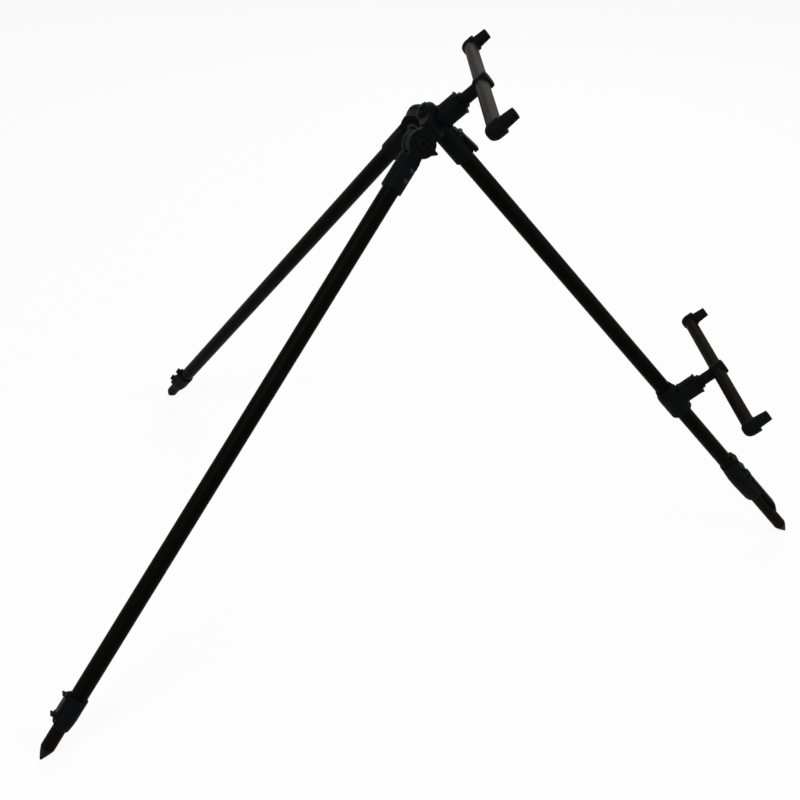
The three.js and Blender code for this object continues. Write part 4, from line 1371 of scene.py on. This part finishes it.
@dataclass
class SlideClamp:
    """The clamp that slides on the front leg and carries the lower crossbar."""

    bench: Bench
    place: Matrix
    up: float = 24.0
    down: float = 21.0
    seat: float = 14.6
    seat_radius: float = 14.8
    wall: float = 4.6

    def build(self) -> None:
        """Make and place the clamp."""
        bore = TUBES.socket_bore
        fat = bore + self.wall
        eighths = [math.pi * t / 16 for t in range(1, 9)]
        swell = [(bore + 2.7 + (self.wall - 2.7) * math.sin(t), -self.up + 7 + 9 * (1 - math.cos(t)))
                 for t in eighths]
        shell = turned([
            (0, -self.up), (bore + 0.9, -self.up), (bore + 1.3, -self.up + 0.6), (bore + 2.7, -self.up + 7),
            *swell, (fat, self.down - 0.6), (fat - 0.6, self.down), (0, self.down),
        ])
        pedestal = along_x(rod(13.3, 0, self.seat))
        cutters = [along_x(rod(self.seat_radius, self.seat, 60)),
                   rod(bore, -self.up - OVERRUN, self.down + OVERRUN)]
        body = carved(shell, [pedestal], cutters)
        self.bench.put(body, Piece("slide_clamp_moulding", "slide_clamp", BODY_PLASTIC, self.place,
                                   ("slide_clamp",), 0.4))


# ---- studio


def greatest(tree: Tree, first: Socket, *others: Socket) -> Socket:
    """The greatest of several values."""
    for other in others:
        node = tree.nodes.new("ShaderNodeMath")
        node.operation = "MAXIMUM"
        tree.links.new(first, node.inputs[0])
        tree.links.new(other, node.inputs[1])
        first = node.outputs[0]
    return first


def blended(tree: Tree, share: Socket, first: Socket, second: Socket, output: str) -> None:
    """Send two shaders, mixed by a share, to an output node of that kind."""
    mix = tree.nodes.new("ShaderNodeMixShader")
    for socket, source in zip(mix.inputs, (share, first, second)):
        tree.links.new(source, socket)
    tree.links.new(mix.outputs[0], tree.nodes.new(output).inputs["Surface"])


@dataclass(frozen=True)
class Lamp:
    """A soft square lamp aimed at the pod."""

    name: str
    place: tuple[float, float, float]
    size: float
    power: float

    def hang(self, target: Vector) -> None:
        """Add the lamp to the scene."""
        data = bpy.data.lights.new(self.name, "AREA")
        data.shape = "SQUARE"
        data.size = self.size
        data.energy = self.power
        lamp = bpy.data.objects.new(self.name, data)
        lamp.location = self.place
        lamp.rotation_euler = (target - Vector(self.place)).to_track_quat("-Z", "Y").to_euler()
        bpy.context.scene.collection.objects.link(lamp)


@dataclass
class Studio:
    """Pale floor, white surround, soft lamps and the photograph's camera."""

    target: Vector = field(default_factory=lambda: Vector((0, 0, 0.3)))
    lamps: tuple[Lamp, ...] = (
        Lamp("key", (-1.4, -2.2, 2.6), 2.0, 55.0),
        Lamp("fill", (2.4, -1.0, 1.8), 1.8, 28.0),
        Lamp("back", (0.4, 2.4, 2.4), 2.2, 30.0),
    )
    camera_place: tuple[float, float, float] = (-0.0862, -1.0806, 0.9157)
    camera_right: tuple[float, float, float] = (0.9999, -0.0108, -0.0016)
    camera_down: tuple[float, float, float] = (-0.0071, -0.5373, -0.8434)
    lens: float = 44.04
    floor_half: float = 20.0
    floor_tone: float = 0.86
    floor_white: float = 0.9
    surround_light: float = 0.45

    def floor(self) -> None:
        """Add the pale floor, which shows white to the camera but keeps a faint shadow."""
        half = self.floor_half
        mesh = bpy.data.meshes.new("floor")
        mesh.from_pydata([(-half, -half, 0), (half, -half, 0), (half, half, 0), (-half, half, 0)], [],
                         [(0, 1, 2, 3)])
        floor = bpy.data.objects.new("floor", mesh)
        bpy.context.scene.collection.objects.link(floor)
        material = bpy.data.materials.new("pale_floor")
        material.use_nodes = True
        tree = material.node_tree
        tree.nodes.clear()
        pale = tree.nodes.new("ShaderNodeBsdfDiffuse")
        pale.inputs["Color"].default_value = (self.floor_tone, self.floor_tone, self.floor_tone, 1)
        white = tree.nodes.new("ShaderNodeEmission")
        white.inputs["Strength"].default_value = 1.0
        path = tree.nodes.new("ShaderNodeLightPath").outputs
        share = tree.nodes.new("ShaderNodeMath")
        share.operation = "MULTIPLY"
        share.inputs[1].default_value = self.floor_white
        tree.links.new(greatest(tree, path["Is Camera Ray"], path["Is Glossy Ray"]), share.inputs[0])
        blended(tree, share.outputs[0], pale.outputs[0], white.outputs[0], "ShaderNodeOutputMaterial")
        mesh.materials.append(material)

    def world(self) -> None:
        """A white surround for what the camera and reflections see, and a grey one for the light."""
        world = bpy.data.worlds.new("surround")
        bpy.context.scene.world = world
        world.use_nodes = True
        tree = world.node_tree
        tree.nodes.clear()
        shades = []
        for strength in (self.surround_light, 1.0):
            shade = tree.nodes.new("ShaderNodeBackground")
            shade.inputs["Color"].default_value = (1, 1, 1, 1)
            shade.inputs["Strength"].default_value = strength
            shades.append(shade.outputs[0])
        path = tree.nodes.new("ShaderNodeLightPath").outputs
        seen = greatest(tree, path["Is Camera Ray"], path["Is Glossy Ray"], path["Is Transmission Ray"])
        blended(tree, seen, *shades, "ShaderNodeOutputWorld")

    def camera(self) -> None:
        """Add the camera that the photograph was fitted with."""
        data = bpy.data.cameras.new("photograph")
        data.sensor_width = 36.0
        data.sensor_fit = "HORIZONTAL"
        data.lens = self.lens
        data.clip_end = 100.0
        camera = bpy.data.objects.new("photograph", data)
        right = Vector(self.camera_right).normalized()
        up = -Vector(self.camera_down)
        back = right.cross(up).normalized()
        up = back.cross(right)
        turn = Matrix((right, up, back)).transposed().to_4x4()
        camera.matrix_world = Matrix.Translation(self.camera_place) @ turn
        bpy.context.scene.collection.objects.link(camera)
        bpy.context.scene.camera = camera

    def build(self) -> None:
        """Set up the whole studio."""
        self.floor()
        self.world()
        for lamp in self.lamps:
            lamp.hang(self.target)
        self.camera()
        bpy.context.scene.view_settings.view_transform = "Standard"


# ---- assembly


@dataclass(frozen=True)
class PodFrames:
    """The pod's local frames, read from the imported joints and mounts."""

    pin_height: float = 13.4
    pin_place: float = 31.5
    nut_out: float = 25.0

    def spine(self) -> Matrix:
        """The front leg's frame: Z down the leg from the head and X out of its upper side."""
        down = Vector(joint("clamp_slide")["axis"]).normalized()
        across = Vector(joint("head_lever_turn")["axis"]).normalized()
        out = across.cross(down)
        origin = joint_point("head_lever_turn") - out * self.pin_height - down * self.pin_place
        return framed(origin, out, across, down)

    def folding(self, side: Side, slide: str) -> Matrix:
        """A rear hinge's frame: Y along the hinge and Z along the axis of the slide of that name."""
        fold = joint(f"{side.label}_leg_fold")
        down = Vector(joint(slide)["axis"]).normalized()
        across = Vector(fold["axis"]).normalized()
        return framed(Vector(fold["pos_m"]) / MILLIMETRE, across.cross(down), across, down)

    def rear(self, side: Side) -> Matrix:
        """A rear leg's frame: Z down the leg and Y along its hinge."""
        return self.folding(side, f"{side.label}_foot_slide")

    def hinge(self, side: Side) -> Matrix:
        """A rear hinge's frame on the head: Y along the hinge and Z down the front leg."""
        return self.folding(side, "clamp_slide")

    def stem(self, label: str) -> tuple[Matrix, float]:
        """A crossbar's frame about its stem, and how far the bar is turned in it."""
        down = Vector(joint("clamp_slide")["axis"]).normalized()
        out = Vector(joint(f"{label}_crossbar_turn")["axis"]).normalized()
        place = framed(joint_point(f"{label}_crossbar_turn") - out * self.nut_out, out, down.cross(out), down)
        mounts = {m["name"]: Vector(m["pos_m"]) for m in frame["record"]["mounts"]}
        along = mounts[f"{label}_near_post_face"] - mounts[f"{label}_far_post_face"]
        local = place.to_3x3().inverted() @ along
        return place, math.atan2(local.z, local.y)


def dress_nodes(bench: Bench) -> None:
    """Give every CAD node a procedural finish, shown or not."""
    finishes = {f.slot: f for f in (
        BODY_PLASTIC, LEVER_PLASTIC, TUBE_BLACK, INNER_BLACK, SPIKE_BLACK, UPPER_GREY, LOWER_GREY, BLACK_STEEL,
        BRASS)}
    slots = {item["node"]: item["material_slot"] for item in frame["record"]["subparts"]}
    bodies = {node: body for body, nodes in frame["record"]["behaviour"]["bodies"].items() for node in nodes}
    for name, node in frame["nodes"].items():
        material = bench.material(finishes[slots[name]], bodies[name], None)
        node.data.materials.clear()
        node.data.materials.append(material)


def main() -> None:
    """Build the studio and the pod, piece by piece."""
    logging.basicConfig(level=logging.INFO, format="%(name)s: %(message)s")
    Studio().build()
    bench = Bench()
    frames = PodFrames()
    spine = frames.spine()
    Head(bench, spine, {side: frames.hinge(side) for side in Side}, frames.stem("upper")[0]).build()
    FrontLeg(bench, "front", "head", spine, 787.0, 9.0, 658.0).build()
    for side in Side:
        RearLeg(bench, side.label, f"{side.label}_leg", frames.rear(side), 793.0, 24.6, 734.5,
                side=side).build()
    for label, base, finish in (("upper", 11.8, UPPER_GREY), ("lower", 14.6, LOWER_GREY)):
        place, turn = frames.stem(label)
        Crossbar(bench, label, place, turn, base, finish).build()
        if label == "lower":
            SlideClamp(bench, place).build()
    dress_nodes(bench)
    LOG.info("%d pieces placed", bench.placed)


if __name__ == "__main__":
    main()
